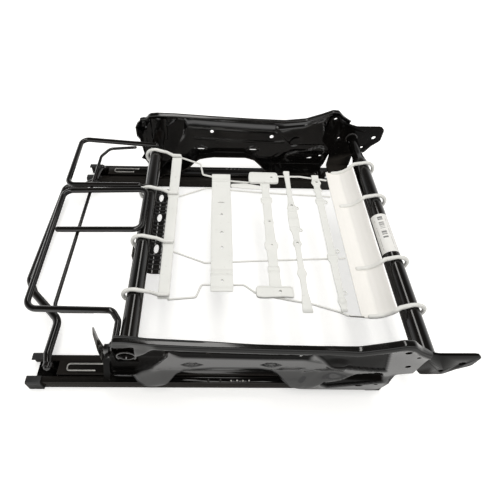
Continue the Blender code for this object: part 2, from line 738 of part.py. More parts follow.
def mat_piece(name, outline, holes=(), thickness=MAT_SHEET):
    low = MAT_Z - 0.5 * MAT_SHEET
    piece = prism(name, outline, "XY", low, low + thickness)
    cutters = [
        prism(f"{name}_hole_{i}", circle(*hole), "XY", low - 3.0, low + thickness + 3.0)
        for i, hole in enumerate(holes)
    ]
    return paint(cut(piece, cutters), WHITE, 0.42)


def strap_outline(x, widths):
    """Both edges of a strap from (y, half width) pairs."""
    right = [(x + w, y) for y, w in widths]
    left = [(x - w, y) for y, w in reversed(widths)]
    return right + left


def rectangle(x0, x1, y0, y1, radius):
    return rounded([(x0, y0, radius), (x1, y0, radius), (x1, y1, radius), (x0, y1, radius)])


def suspension_mat():
    mat_piece("mat_front_strip", rectangle(*STRIP_X, *STRIP_Y, 4.0), thickness=3.0)
    pad_holes = [(-73.5, y, 2.2, 8) for y in (44.0, 15.0, -25.0, -56.0, -110.0)]
    mat_piece("mat_wide_pad", rectangle(-91.0, -56.0, -138.0, 118.0, 6.0), pad_holes)
    far_block = (121.0, 27.0), (94.0, 27.0)
    near_block = (-129.0, 28.0), (-148.0, 28.0)
    second = [*far_block, (93.0, 10.0), (56.0, 9.0), (50.0, 11.0), (44.0, 9.0)]
    second += [(-104.0, 9.0), (-128.0, 10.0), *near_block]
    holes = [(20.0, 108.0, 2.4, 8), (8.0, 0.0, 2.0, 8), (8.0, -60.0, 2.0, 8), (12.0, -138.0, 2.4, 8)]
    mat_piece("mat_strap_second", strap_outline(5.0, second), holes)
    third = [
        (128.0, 5.0), (62.0, 4.5), (20.0, 4.5), (8.0, 10.0), (-8.0, 10.0), (-20.0, 5.0),
        (-42.0, 8.0), (-54.0, 5.0), (-92.0, 5.0), (-104.0, 9.0), (-116.0, 5.0), (-172.0, 5.0),
    ]
    mat_piece("mat_strap_third", strap_outline(50.0, third), [(50.0, 0.0, 2.4, 8)])
    fourth = [
        (119.0, 6.0), (106.0, 6.0), (98.0, 10.0), (88.0, 6.0), (30.0, 6.0), (24.0, 9.0),
        (18.0, 6.0), (-70.0, 6.0), (-76.0, 9.0), (-82.0, 6.0), (-170.0, 5.0),
    ]
    mat_piece("mat_strap_fourth", strap_outline(103.0, fourth), [(103.0, 98.0, 2.4, 8)])
    sheet = thick_line(PANEL_SECTION, PANEL_SHEET)
    panel = prism("mat_rear_panel", sheet, "XZ", *PANEL_Y)
    paint(panel, CREAM, 0.45)
    mat_wire("mat_wire_right_outer", [
        (-152.0, 168.0), (-113.0, 150.0), (-108.0, 120.0), (-54.0, 103.0), (-24.0, 100.0),
        (20.0, 118.0), (76.0, 118.0), (124.0, 109.0),
    ])
    mat_wire("mat_wire_right_inner", [(-152.0, 60.0), (-100.0, 84.0), (0.0, 74.0), (124.0, 66.0)])
    mat_wire("mat_wire_left_inner", [(-152.0, -62.0), (-100.0, -84.0), (0.0, -78.0), (124.0, -72.0)])
    mat_wire("mat_wire_left_outer", [
        (-152.0, -150.0), (-112.0, -146.0), (-104.0, -124.0), (-40.0, -124.0), (-20.0, -140.0),
        (60.0, -156.0), (96.0, -168.0), (112.0, -175.0), (124.0, -176.0),
    ])


def mat_hook(name, y, centre, tube_r, wire_r, start, first, last):
    """Coated hook from the mat, loose over one cross tube."""
    reach = tube_r + wire_r + HOOK_SLACK
    path = [Vector((x, y + sideways, z)) for x, sideways, z in start]
    steps = 8
    for i in range(steps + 1):
        angle = math.radians(first + (last - first) * i / steps)
        x = centre[0] + reach * math.cos(angle)
        path.append(Vector((x, y, centre[1] + reach * math.sin(angle))))
    return paint(bar(name, path, wire_r, 1), WHITE, 0.4)


def mat_hooks():
    strip_top = MAT_Z - 0.5 * MAT_SHEET + 3.0
    start_z = strip_top + WELD_GAP + FRONT_HOOK_R
    for i, y in enumerate(FRONT_HOOK_Y):
        start = [(-153.0, 0.0, start_z), (-166.0, 0.0, start_z + 0.5), (-178.0, 0.0, 125.0)]
        centre = (FRONT_TUBE_X - 1.5, FRONT_TUBE_Z)
        mat_hook(f"mat_front_hook_{i + 1}", y, centre, FRONT_TUBE_R, FRONT_HOOK_R, start, 62.0, 215.0)
    lift = 0.5 * PANEL_SHEET + WELD_GAP + REAR_HOOK_R
    lying = thick_line(PANEL_SECTION, 2.0 * lift)[1:len(PANEL_SECTION)]
    arm = [(x, -8.0, z) for x, z in lying] + [(178.0, -5.0, 127.4)]
    for i, y in enumerate(REAR_HOOK_Y):
        centre = (REAR_TUBE_X + 2.0, REAR_TUBE_Z)
        mat_hook(f"mat_rear_hook_{i + 1}", y, centre, REAR_TUBE_R, REAR_HOOK_R, arm, 110.0, -50.0)


clear_scene()
frame_parts = new_collection("seat_cushion_frame")
cutter_parts = new_collection("cutters")
for side_name, side_sign in (("left", -1.0), ("right", 1.0)):
    lower_rail("lower_rail_" + side_name, side_sign)
    for end_name, end_x, end_way in (("front", RAIL_FRONT_X, -1.0), ("rear", RAIL_REAR_X, 1.0)):
        for edge_name, edge in (("outer", side_sign), ("inner", -side_sign)):
            cap_name = f"rail_cap_{end_name}_{edge_name}_{side_name}"
            rail_cap(cap_name, side_sign, edge, end_x, end_way)
    upper_rail("upper_rail_" + side_name, side_sign)
    side_member("side_member_" + side_name, side_sign)
    recliner_bracket("recliner_bracket_" + side_name, side_sign)
    for number, rivet_x in enumerate(FRONT_FOOT_RIVETS + REAR_FOOT_RIVETS):
        foot_rivet(f"foot_rivet_{side_name}_{number + 1}", rivet_x, side_sign)
    cross_pin("release_pin_" + side_name, BAR_PIVOT_X, BAR_PIVOT_Z, side_sign)
    cross_pin("latch_pin_" + side_name, LATCH_PIVOT_X, LATCH_PIVOT_Z, side_sign)
    latch("latch_" + side_name, side_sign)
    latch_spring("latch_spring_" + side_name, side_sign)
front_cross_tube()
rear_cross_tube()
release_bar()
front_wire_left()
front_wire_right()
front_support_wire()
front_bracket_plate()
suspension_mat()
mat_hooks()
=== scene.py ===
import json
import math

import bmesh
import bpy
import numpy as np
from mathutils import Matrix, Vector

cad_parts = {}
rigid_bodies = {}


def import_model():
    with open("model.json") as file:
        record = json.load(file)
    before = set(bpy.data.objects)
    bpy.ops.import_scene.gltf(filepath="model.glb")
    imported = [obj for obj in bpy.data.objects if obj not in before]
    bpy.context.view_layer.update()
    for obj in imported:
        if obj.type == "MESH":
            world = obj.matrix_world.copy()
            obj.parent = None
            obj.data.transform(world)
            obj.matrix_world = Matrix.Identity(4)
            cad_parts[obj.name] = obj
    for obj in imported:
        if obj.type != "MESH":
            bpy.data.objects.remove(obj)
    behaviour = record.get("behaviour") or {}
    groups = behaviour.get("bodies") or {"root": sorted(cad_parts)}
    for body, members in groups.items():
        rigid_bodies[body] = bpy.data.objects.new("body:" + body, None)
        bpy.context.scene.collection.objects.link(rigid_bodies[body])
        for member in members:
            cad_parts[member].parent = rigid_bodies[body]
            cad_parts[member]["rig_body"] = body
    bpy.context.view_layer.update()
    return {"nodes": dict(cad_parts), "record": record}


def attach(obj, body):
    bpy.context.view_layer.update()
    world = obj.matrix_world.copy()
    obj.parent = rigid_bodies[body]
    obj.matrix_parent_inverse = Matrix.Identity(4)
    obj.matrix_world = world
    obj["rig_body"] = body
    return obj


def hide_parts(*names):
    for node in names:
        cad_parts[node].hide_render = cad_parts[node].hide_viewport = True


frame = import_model()
nodes = frame["nodes"]


# Camera. It stands where the photographer stood, above the near left side and
# looking down at about 51 degrees, with the lens shifted a little.
BOX_MIDDLE_X = -71.6
CAMERA_YAW = 0.0331078
CAMERA_PITCH = 0.8883595
CAMERA_ROLL = -0.0377378
CAMERA_PLACE = (-88.2526, -447.6208, 622.4998)
LENS_LENGTH = 28.8
LENS_SHIFT = (0.0581, -0.0268)


def metres(x, y, z):
    """Drawing sizes are millimetres about the midpoint of the two cross tubes."""
    return Vector(((x - BOX_MIDDLE_X) / 1000.0, y / 1000.0, z / 1000.0))


ahead = Vector((
    math.sin(CAMERA_YAW) * math.cos(CAMERA_PITCH),
    math.cos(CAMERA_YAW) * math.cos(CAMERA_PITCH),
    -math.sin(CAMERA_PITCH),
))
level = Vector((math.cos(CAMERA_YAW), -math.sin(CAMERA_YAW), 0.0))
below = ahead.cross(level)
to_right = level * math.cos(CAMERA_ROLL) + below * math.sin(CAMERA_ROLL)
to_bottom = below * math.cos(CAMERA_ROLL) - level * math.sin(CAMERA_ROLL)
lens = bpy.data.cameras.new("camera")
lens.sensor_width = 36.0
lens.lens = LENS_LENGTH
lens.shift_x, lens.shift_y = LENS_SHIFT
lens.clip_start = 0.01
camera = bpy.data.objects.new("camera", lens)
bpy.context.scene.collection.objects.link(camera)
stand = Matrix((to_right, -to_bottom, -ahead)).transposed().to_4x4()
stand.translation = metres(*CAMERA_PLACE)
camera.matrix_world = stand
bpy.context.scene.camera = camera
bpy.context.scene.view_settings.view_transform = "Standard"


# Studio. A wide pale floor with a painted shadow under the frame that only
# reflections see, one long soft light overhead that draws a streak along each
# tube, and a low soft light in front of the near side.
class Value:
    """A number or colour that changes over a surface: one socket of a node."""

    def __init__(self, graph, socket):
        self.graph = graph
        self.socket = socket

    def sum_of(self, operation, first, second):
        return self.graph.node("ShaderNodeMath", {"operation": operation}, {0: first, 1: second})

    def __add__(self, other):
        return self.sum_of("ADD", self, other)

    def __sub__(self, other):
        return self.sum_of("SUBTRACT", self, other)

    def __rsub__(self, other):
        return self.sum_of("SUBTRACT", other, self)

    def __mul__(self, other):
        return self.sum_of("MULTIPLY", self, other)

    __radd__ = __add__
    __rmul__ = __mul__


class Graph:
    """The nodes of one finish, or of the studio around the object."""

    def __init__(self, tree):
        self.tree = tree

    def node(self, kind, settings=None, sockets=None, out=0):
        """Any node: its settings first, then values or links for its sockets."""
        made = self.tree.nodes.new(kind)
        for name, value in (settings or {}).items():
            if name == "stops":
                for place, stop in enumerate(value):
                    ramp = made.color_ramp.elements
                    element = ramp[place] if place < 2 else ramp.new(stop[0])
                    element.position = stop[0]
                    element.color = (*stop[1], 1.0)
            else:
                setattr(made, name, value)
        for name, value in (sockets or {}).items():
            self.set(made.inputs[name], value)
        return Value(self, made.outputs[out]) if made.outputs else None

    def set(self, socket, value):
        if isinstance(value, Value):
            self.tree.links.new(value.socket, socket)
        else:
            socket.default_value = value

    def tint(self, amount, first, second):
        """A colour between two others."""
        sockets = {0: amount}
        for place, colour in ((6, first), (7, second)):
            sockets[place] = colour if isinstance(colour, Value) else (*colour, 1.0)
        return self.node("ShaderNodeMix", {"data_type": "RGBA"}, sockets, out=2)

    def between(self, value, low, high):
        """0 below the low value, 1 above the high one."""
        return self.node(
            "ShaderNodeMapRange", {"interpolation_type": "SMOOTHSTEP"},
            {"Value": value, "From Min": low, "From Max": high},
        )

    def ray(self, kind):
        """1 on rays of the given kind."""
        return self.node("ShaderNodeLightPath", out=f"Is {kind} Ray")

    def either(self, first, second):
        """The sum of two masks, held at 1."""
        return self.node("ShaderNodeMath", {"operation": "ADD", "use_clamp": True}, {0: first, 1: second})

    def part(self, place, axis):
        """One coordinate of a place."""
        return self.node("ShaderNodeSeparateXYZ", None, {0: place}, out=axis)


LIGHT_HEIGHT = 1.75
LIGHT_POWER = 16.5
LOW_LIGHT_POWER = 5.0
AROUND = 0.62
CEILING = 0.08
FLOOR_GLOW = 0.38
FLOOR_REACH = 6.0
FLOOR_Z = -0.0006
FRAME_HALF = {"X": 0.33, "Y": 0.259}
PAINTED_SHADOW_TONE = (0.30, 0.29, 0.28, 1.0)

world = bpy.data.worlds.new("studio")
bpy.context.scene.world = world
world.use_nodes = True
studio = Graph(world.node_tree)
studio.tree.nodes.clear()
seen = studio.either(studio.ray("Camera") + studio.ray("Glossy"), studio.ray("Transmission"))
upward = studio.part(studio.node("ShaderNodeTexCoord", out="Generated"), "Z")
overhead = studio.between(upward, 0.1, 0.75) * studio.ray("Glossy")
backdrop = studio.tint(overhead, (1.0, 1.0, 1.0), (CEILING, CEILING * 0.96, CEILING * 0.9))
shown = studio.node("ShaderNodeBackground", None, {"Color": backdrop, "Strength": 1.0})
felt = studio.node("ShaderNodeBackground", None, {"Color": (1.0, 0.99, 0.97, 1.0), "Strength": AROUND})
both = studio.node("ShaderNodeMixShader", None, {0: seen, 1: felt, 2: shown})
studio.node("ShaderNodeOutputWorld", None, {"Surface": both})


def soft_light(name, power, size, place, target):
    lamp = bpy.data.lights.new(name, "AREA")
    lamp.shape = "RECTANGLE"
    lamp.size, lamp.size_y = size
    lamp.energy = power
    lamp.color = (1.0, 0.985, 0.96)
    holder = bpy.data.objects.new(name, lamp)
    holder.location = place
    holder.rotation_euler = (Vector(target) - Vector(place)).to_track_quat("-Z", "Y").to_euler()
    bpy.context.scene.collection.objects.link(holder)


soft_light("overhead_light", LIGHT_POWER, (0.42, 2.6), (0.06, 0.0, LIGHT_HEIGHT), (0.06, 0.0, 0.0))
soft_light("low_light", LOW_LIGHT_POWER, (2.6, 0.7), (0.0, -1.9, 0.75), (0.0, 0.0, 0.05))

floor_mesh = bpy.data.meshes.new("floor")
floor_corners = [(a * FLOOR_REACH, b * FLOOR_REACH, FLOOR_Z) for a, b in ((-1, -1), (1, -1), (1, 1), (-1, 1))]
floor_mesh.from_pydata(floor_corners, [], [(0, 1, 2, 3)])
floor = bpy.data.objects.new("floor", floor_mesh)
bpy.context.scene.collection.objects.link(floor)
floor_paint = bpy.data.materials.new("pale_floor")
floor_paint.use_nodes = True
paint_nodes = Graph(floor_paint.node_tree)
floor_shader = floor_paint.node_tree.nodes["Principled BSDF"]
floor_shader.inputs["Base Color"].default_value = (0.93, 0.93, 0.92, 1.0)
floor_shader.inputs["Roughness"].default_value = 0.9
floor_shader.inputs["Specular IOR Level"].default_value = 0.0
floor_shader.inputs["Emission Strength"].default_value = FLOOR_GLOW
floor_seen = paint_nodes.either(paint_nodes.ray("Camera"), paint_nodes.ray("Glossy"))
floor_glow = paint_nodes.tint(floor_seen, (0.0, 0.0, 0.0), (1.0, 1.0, 1.0))
paint_nodes.set(floor_shader.inputs["Emission Color"], floor_glow)
# Painted shadow: inside the frame's footprint glossy rays see a darker floor, the frame's shadow in reflections.
spot = paint_nodes.node("ShaderNodeTexCoord", out="Object")
under = paint_nodes.ray("Glossy")
for axis, reach in FRAME_HALF.items():
    outward = paint_nodes.node("ShaderNodeMath", {"operation": "ABSOLUTE"}, {0: paint_nodes.part(spot, axis)})
    under = under * (1.0 - paint_nodes.between(outward, reach - 0.006, reach + 0.008))
shade = paint_nodes.node("ShaderNodeBsdfDiffuse", None, {"Color": PAINTED_SHADOW_TONE})
pale = Value(paint_nodes, floor_shader.outputs[0])
floor_surface = paint_nodes.node("ShaderNodeMixShader", None, {0: under, 1: pale, 2: shade})
paint_nodes.set(floor_paint.node_tree.nodes["Material Output"].inputs["Surface"], floor_surface)
floor_mesh.materials.append(floor_paint)


# Black enamel. The steel parts are dipped and baked, which leaves a gloss with
# a faint orange peel, some dust, and a thinner, browner coat along the edges.
class Finish(Graph):
    """A procedural finish: a Principled shader and the nodes that feed it."""

    def __init__(self, name, **steady):
        self.material = bpy.data.materials.new(name)
        self.material.use_nodes = True
        super().__init__(self.material.node_tree)
        self.shader = self.tree.nodes["Principled BSDF"]
        self.place = self.node("ShaderNodeTexCoord", out="Object")
        for socket, value in steady.items():
            self.shader.inputs[socket.replace("_", " ")].default_value = value

    def speckle(self, size, detail=3.0):
        """Noise with grains of about the given size in millimetres."""
        sockets = {"Vector": self.place, "Scale": 1000.0 / size, "Detail": detail}
        return self.node("ShaderNodeTexNoise", None, sockets)

    def feed(self, **varying):
        for socket, value in varying.items():
            self.set(self.shader.inputs[socket.replace("_", " ")], value)

    def relief(self, height, depth):
        """Bump of the given depth in millimetres."""
        bump = self.node("ShaderNodeBump", None, {"Height": height, "Distance": depth / 1000.0})
        self.feed(Normal=bump)


def enamel(name, peel=0.05, brown=0.5, film=1.0):
    """Where the film is thinner it shines less; where the painted-shade attribute is 1 the coat is taken off,
    which paints shade.
    """
    made = Finish(name, IOR=1.04, Coat_IOR=1.6, Coat_Roughness=0.12)
    # Painted shade: this point attribute takes the coat off where the pressing should look shaded.
    hollow = made.node("ShaderNodeAttribute", {"attribute_name": "hollow"}, out=2)
    dust = made.between(made.speckle(9.0, 6.0), 0.56, 0.72)
    thin = made.between(made.node("ShaderNodeNewGeometry", out="Pointiness"), 0.53, 0.62)
    patch = made.between(made.speckle(55.0, 2.0), 0.35, 0.7)
    body = made.tint(patch * brown, (0.0020, 0.0019, 0.0018), (0.0050, 0.0038, 0.0030))
    body = made.tint(thin * 0.6, body, (0.042, 0.037, 0.032))
    body = made.tint(dust * 0.06, body, (0.060, 0.056, 0.051))
    rough = 0.08 + made.speckle(28.0, 3.0) * 0.10 + dust * 0.08
    made.feed(Base_Color=body, Roughness=rough, Coat_Weight=(1.0 - hollow) * film)
    made.relief(made.speckle(2.6, 1.0) * 0.3 + made.speckle(11.0, 2.0), peel)
    return made.material


black_enamel = enamel("black_enamel")
thin_enamel = enamel("thin_enamel", 0.04, 0.4, 0.1)


# Side members, left and right. Each is one sheet of 2 mm steel, pressed with a
# foot, a stepped web and a top flange; the lower edge arches over the rail. A point
# attribute carries painted shade: where it is 1, in the creases, recesses and
# under the folds, the outer face loses its coat and shows dark.
SIDES = (("left", -1.0), ("right", 1.0))
SHEET = 2.0
BEND = 2.5
WEB_Y = 242.0
FOOT_Z = 26.3
MEMBER_BOTTOM = (
    (-236, 46), (-232, 34), (-224, FOOT_Z), (-166, FOOT_Z), (-152, 36), (-138, 53), (-120, 63),
    (-88, 68), (-20, 68), (-2, 62), (13, 46), (28, 32), (42, FOOT_Z), (152, FOOT_Z), (160, 34),
    (168, 74), (190, 80),
)
MEMBER_TOP = (
    (-236, 148), (-223, 151), (-217, 159), (-212, 162), (-200, 163), (-100, 156), (-8, 151), (53, 149),
    (98, 152), (130, 164), (148, 172), (160, 171), (172, 159), (190, 147),
)
SHOULDER_Y = ((-236, 241), (-190, 242), (-160, 244), (-110, 244.5), (60, 245), (100, 248), (190, 249))
CREASE_Z = ((-150, 138), (-143, 118), (-130, 103), (-33, 98), (70, 95), (100, 110))
STEP_X = ((30, -203), (45, -191), (57, -178), (80, -168), (97, -160), (110, -153), (138, -149))
BAND_Y = ((-160, 237), (-134, 236.5), (40, 236), (70, 241), (100, 245), (135, 247.5))
FOOT_Y = ((-150, 249), (60, 252), (165, 252.6))
FOOT_BREAK_Z = (
    (-236, 29), (-204, 30), (-188, 42), (-172, 56), (-158, 66), (-140, 64), (50, 62), (80, 78),
    (165, 70),
)
FOOT_BREAK_DEPTH = ((-190, 20), (-150, 34), (50, 34), (80, 14))
TOP_WIDTH = (
    (-236, 9), (-222, 10), (-212, 11), (-110, 10.5), (-30, 7.5), (60, 7.5), (100, 9.5), (160, 10),
    (190, 5),
)
FOOT_REACH = (
    (-232, 3), (-224, 10), (-217, 34), (-139, 34), (-130, 25), (-118, 18), (-104, 16), (2, 16),
    (13, 22), (23, 34), (145, 34), (152, 10), (160, 3), (168, 0.6),
)
EAR_TIP = {
    -1.0: ((0, -236, 70, 143), (2, -236.5, 92, 143.5), (15, -241.5, 110, 147.5), (33, -244.5, 128, 149)),
    1.0: ((0, -236, 46, 143), (4, -238, 62, 143.5), (15, -239.6, 104, 147.5), (33, -241, 128, 149)),
}
EAR_DEPTH = {-1.0: 27.0, 1.0: 33.0}
RIDGE_Z = ((-236, 116), (-222, 142), (-211, 150), (-193, 150), (-187, 132), (-170, 145), (-160, 150))
SHOULDER_DROP = 12.0
WEB_LEAN = 11.0
WEB_LEAN_Z = (126.0, 78.0)
RIDGE_HEIGHT = 4.5
RIDGE_TOP = 158.0
DENT_Y = 236.5
DENT_TOP = 153.0
CREASE_DEPTH = 1.1
ROLL_HEIGHT = 0.9
LOUVRE_DEPTH = 2.2
POCKET_DEPTH = 3.0
RIB_HEIGHT = 0.6
RIB_COUNT = 26.0
LIP_HEIGHT = 1.3
POCKET = ((38, 130), (38, 200), (124, 200), (153, 86), (75, 87))
SLOT = ((66, 46), (71, 57), (140, 84), (150, 80), (157, 58), (80, 34))
FAN = (84.0, 97.0)
LOUVRES = ((-115.0, 80.4), (-5.0, 80.4))
LOUVRE_SLIT = ((-10.6, 0.0), (-5.2, 1.5), (5.2, 1.5), (10.6, 0.0), (5.2, -1.5), (-5.2, -1.5))
WEB_HOLES = ((-92.0, 122.0, 3.6), (31.5, 112.0, 4.0), (124.0, 46.0, 2.4, 24, 2.4), (147.0, 52.0, 2.0, 24, 1.5))
BRACKET_HOLES = ((157.0, 152.0, 4.2), (176.0, 137.0, 2.6), (174.0, 106.0, 3.8))
TUBE_HOLE = (-199.5, 115.0, 11.3)
FOOT_RIVETS = (-207.0, -182.0, 66.0, 138.0)
RAIL_Y = 220.0


def along(table, x, spread=2.0):
    """Reads a table of (place, value) with its corners eased over a few millimetres."""
    places, values = zip(*table)
    shifts = (-2.0 * spread, -spread, 0.0, spread, 2.0 * spread)
    return np.mean([np.interp(np.asarray(x) + shift, places, values) for shift in shifts], axis=0)


def ease(t):
    t = np.clip(t, 0.0, 1.0)
    return t * t * (3.0 - 2.0 * t)


def hill(t):
    return np.exp(-t * t)


def from_to(value, low, high, rise, fall=None):
    """1 between the low and the high value, eased in and out over the given distances."""
    return ease((value - low) / rise) * ease((high - value) / (fall or rise))


def within(outline, x, z):
    """How far inside a convex outline, listed clockwise, a place lies."""
    depth = 1000.0
    for (ax, az), (bx, bz) in zip(outline, outline[1:] + outline[:1]):
        length = math.hypot(bx - ax, bz - az)
        depth = np.minimum(depth, ((x - ax) * (bz - az) - (z - az) * (bx - ax)) / length)
    return depth


def hollow(x, z):
    """Painted shade: 1 where the outer face is painted dark (front web, dent, under the fold, rim, pocket, slot,
    louvre rims), 0 elsewhere.
    """
    step = ease((x - along(STEP_X, z)) / 5.0)
    crease = along(CREASE_Z, x)
    shoulder = along(MEMBER_TOP, x) - SHOULDER_DROP
    front = (1.0 - step) * ease((along(RIDGE_Z, x) - z) / 3.0) * ease((z - 31.0) / 4.0)
    dent = ease((13.0 - abs(x - TUBE_HOLE[0])) / 3.0) * from_to(z, 110.0, DENT_TOP, 5.0, 3.0)
    fold = from_to(z, crease, shoulder - 2.0, 3.0) * from_to(x, -168.0, 50.0, 14.0, 8.0)
    rim = 0.75 * ease((z - shoulder - 1.0) / 3.0) * ease((x + 168.0) / 14.0)
    dark = np.maximum(np.maximum(front, dent), np.maximum(fold, rim))
    pocket = np.minimum(within(POCKET, x, z), shoulder - 3.0 - z)
    dark = np.maximum(dark, 0.9 * ease(pocket / 3.0))
    dark = np.maximum(dark, ease(within(SLOT, x, z) / 3.0))
    for louvre_x, louvre_z in LOUVRES:
        inside = 1.0 - abs((x - louvre_x) / 15.5) ** 1.4 - abs(z - louvre_z) / 9.5
        dark = np.maximum(dark, hill((inside - 0.12) / 0.14) * ease((z - louvre_z + 9.0) / 9.0))
    return dark


def web_offset(x, z):
    """How far outboard the pressed web stands at a place on the side member."""
    crease = along(CREASE_Z, x)
    step = ease((x - along(STEP_X, z)) / 9.0)
    web = WEB_Y + 1.5 - WEB_LEAN * np.clip((WEB_LEAN_Z[0] - z) / WEB_LEAN_Z[1], 0.0, 1.0)
    band = web + (along(BAND_Y, x) - web) * step
    shoulder = along(MEMBER_TOP, x) - SHOULDER_DROP
    rise = np.clip((z - crease) / (shoulder - crease), 0.0, 1.0)
    face = band + (along(SHOULDER_Y, x) - band) * rise ** 3
    drop = ease((along(FOOT_BREAK_Z, x) - z) / along(FOOT_BREAK_DEPTH, x))
    face = face + (along(FOOT_Y, x) - band) * drop
    ridge = along(RIDGE_Z, x)
    tent = np.where(z > ridge, 1.0 - (z - ridge) / (RIDGE_TOP - ridge), ease(1.0 + (z - ridge) / 8.0))
    face = face + RIDGE_HEIGHT * np.clip(tent, 0.0, 1.0) * from_to(x, -240.0, -160.0, 7.0, 14.0)
    recess = ease((16.0 - abs(x - TUBE_HOLE[0])) / 3.0) * from_to(z, 97.0, DENT_TOP, 5.0, 4.0)
    face = face + (DENT_Y - face) * recess
    face = face - CREASE_DEPTH * hill((z - crease - 3.0) / 2.2) * from_to(x, -142.0, 66.0, 8.0)
    face = face + ROLL_HEIGHT * hill((z - shoulder - 1.0) / 1.8) * ease((x + 168.0) / 20.0)
    for louvre_x, louvre_z in LOUVRES:
        inside = 1.0 - abs((x - louvre_x) / 14.5) ** 1.4 - abs(z - louvre_z) / 9.0
        face = face - LOUVRE_DEPTH * ease(inside / 0.16)
    pocket = np.minimum(within(POCKET, x, z), shoulder - 4.0 - z)
    face = face - POCKET_DEPTH * ease(pocket / 4.0)
    face = face + POCKET_DEPTH * ease(1.4 - np.hypot(x - FAN[0], z - FAN[1]) / 13.0)
    face = face - POCKET_DEPTH * ease(within(SLOT, x, z) / 4.0)
    turn = np.arctan2(z - FAN[1], x - FAN[0])
    ribs = from_to(x, 36.0, 74.0, 8.0) * from_to(z, 28.0, 74.0, 6.0, 10.0)
    face = face + RIB_HEIGHT * np.cos(RIB_COUNT * turn) * ribs
    lip = from_to(x, -138.0, 24.0, 12.0) * ease(1.0 - (z - along(MEMBER_BOTTOM, x)) / 3.5)
    return face + LIP_HEIGHT * lip


def grid_faces(rows, columns, turned_over=False):
    """Faces of a grid whose points are listed column by column."""
    faces = []
    for i in range(columns - 1):
        for j in range(rows - 1):
            a = i * rows + j
            face = (a, a + 1, a + rows + 1, a + rows)
            faces.append(face[::-1] if turned_over else face)
    return faces


def raw(name, points, faces):
    mesh = bpy.data.meshes.new(name)
    mesh.from_pydata([metres(*point) for point in points], [], faces)
    obj = bpy.data.objects.new(name, mesh)
    bpy.context.scene.collection.objects.link(obj)
    return obj


def closed(obj):
    """Merges the doubles of a closed shell and turns its faces outward."""
    work = bmesh.new()
    work.from_mesh(obj.data)
    bmesh.ops.remove_doubles(work, verts=work.verts, dist=0.000002)
    bmesh.ops.recalc_face_normals(work, faces=work.faces)
    work.to_mesh(obj.data)
    work.free()
    return obj


def fixed(obj, crisp=32.0):
    """Applies the modifiers and shades the surface smooth between its sharp edges."""
    bpy.context.view_layer.update()
    ready = obj.evaluated_get(bpy.context.evaluated_depsgraph_get())
    mesh = bpy.data.meshes.new_from_object(ready)
    obj.modifiers.clear()
    obj.data = mesh
    mesh.name = obj.name
    mesh.shade_smooth()
    mesh.set_sharp_from_angle(angle=math.radians(crisp))
    return obj


def cut(obj, cutter, operation="DIFFERENCE"):
    """Cuts one closed mesh out of another, or joins the two."""
    step = obj.modifiers.new("Cut", "BOOLEAN")
    step.operation = operation
    step.solver = "EXACT"
    step.object = cutter
    fixed(obj)
    bpy.data.objects.remove(cutter, do_unlink=True)
    return obj


def thickened(obj, thickness, offset=-1.0):
    """Gives a sheet its thickness, on its inner side unless the offset is 1."""
    sheet = obj.modifiers.new("Sheet", "SOLIDIFY")
    sheet.thickness = thickness / 1000.0
    sheet.offset = offset
    return sheet


def bevel(obj, width, segments=2, angle=30.0):
    edge = obj.modifiers.new("Edge", "BEVEL")
    edge.width = width / 1000.0
    edge.segments = segments
    edge.limit_method = "ANGLE"
    edge.angle_limit = math.radians(angle)
    edge.use_clamp_overlap = True
    return obj


def settle(obj, finish, body, slot, *replaced):
    """Gives a finished piece its material and its body, and hides the solids it stands for."""
    obj.data.materials.clear()
    obj.data.materials.append(finish)
    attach(obj, body)
    if replaced:
        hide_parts(*replaced)
    return obj


def prisms(name, shapes, plane):
    """Closed flat-ended blocks: each shape is (outline, low, high)."""
    order = {
        "XY": lambda a, b, c: (a, b, c),
        "XZ": lambda a, b, c: (a, c, b),
        "YZ": lambda a, b, c: (c, a, b),
    }[plane]
    points = []
    faces = []
    for outline, low, high in shapes:
        first = len(points)
        count = len(outline)
        points += [order(a, b, low) for a, b in outline] + [order(a, b, high) for a, b in outline]
        faces.append(tuple(range(first, first + count)))
        faces.append(tuple(range(first + 2 * count - 1, first + count - 1, -1)))
        for i in range(count):
            j = (i + 1) % count
            faces.append((first + j, first + i, first + i + count, first + j + count))
    return closed(raw(name, points, faces))


def circle(a, b, radius, sides=32, stretch=1.0):
    return [
        (a + stretch * radius * math.cos(math.tau * i / sides), b + radius * math.sin(math.tau * i / sides))
        for i in range(sides)
    ]


def front_slope(x, z, side):
    """The left member's front edge stands further forward at the foot than at the top."""
    return 0.20 * (z - 75.0) * float(ease((-204.0 - x) / 32.0)) if side < 0 else 0.0


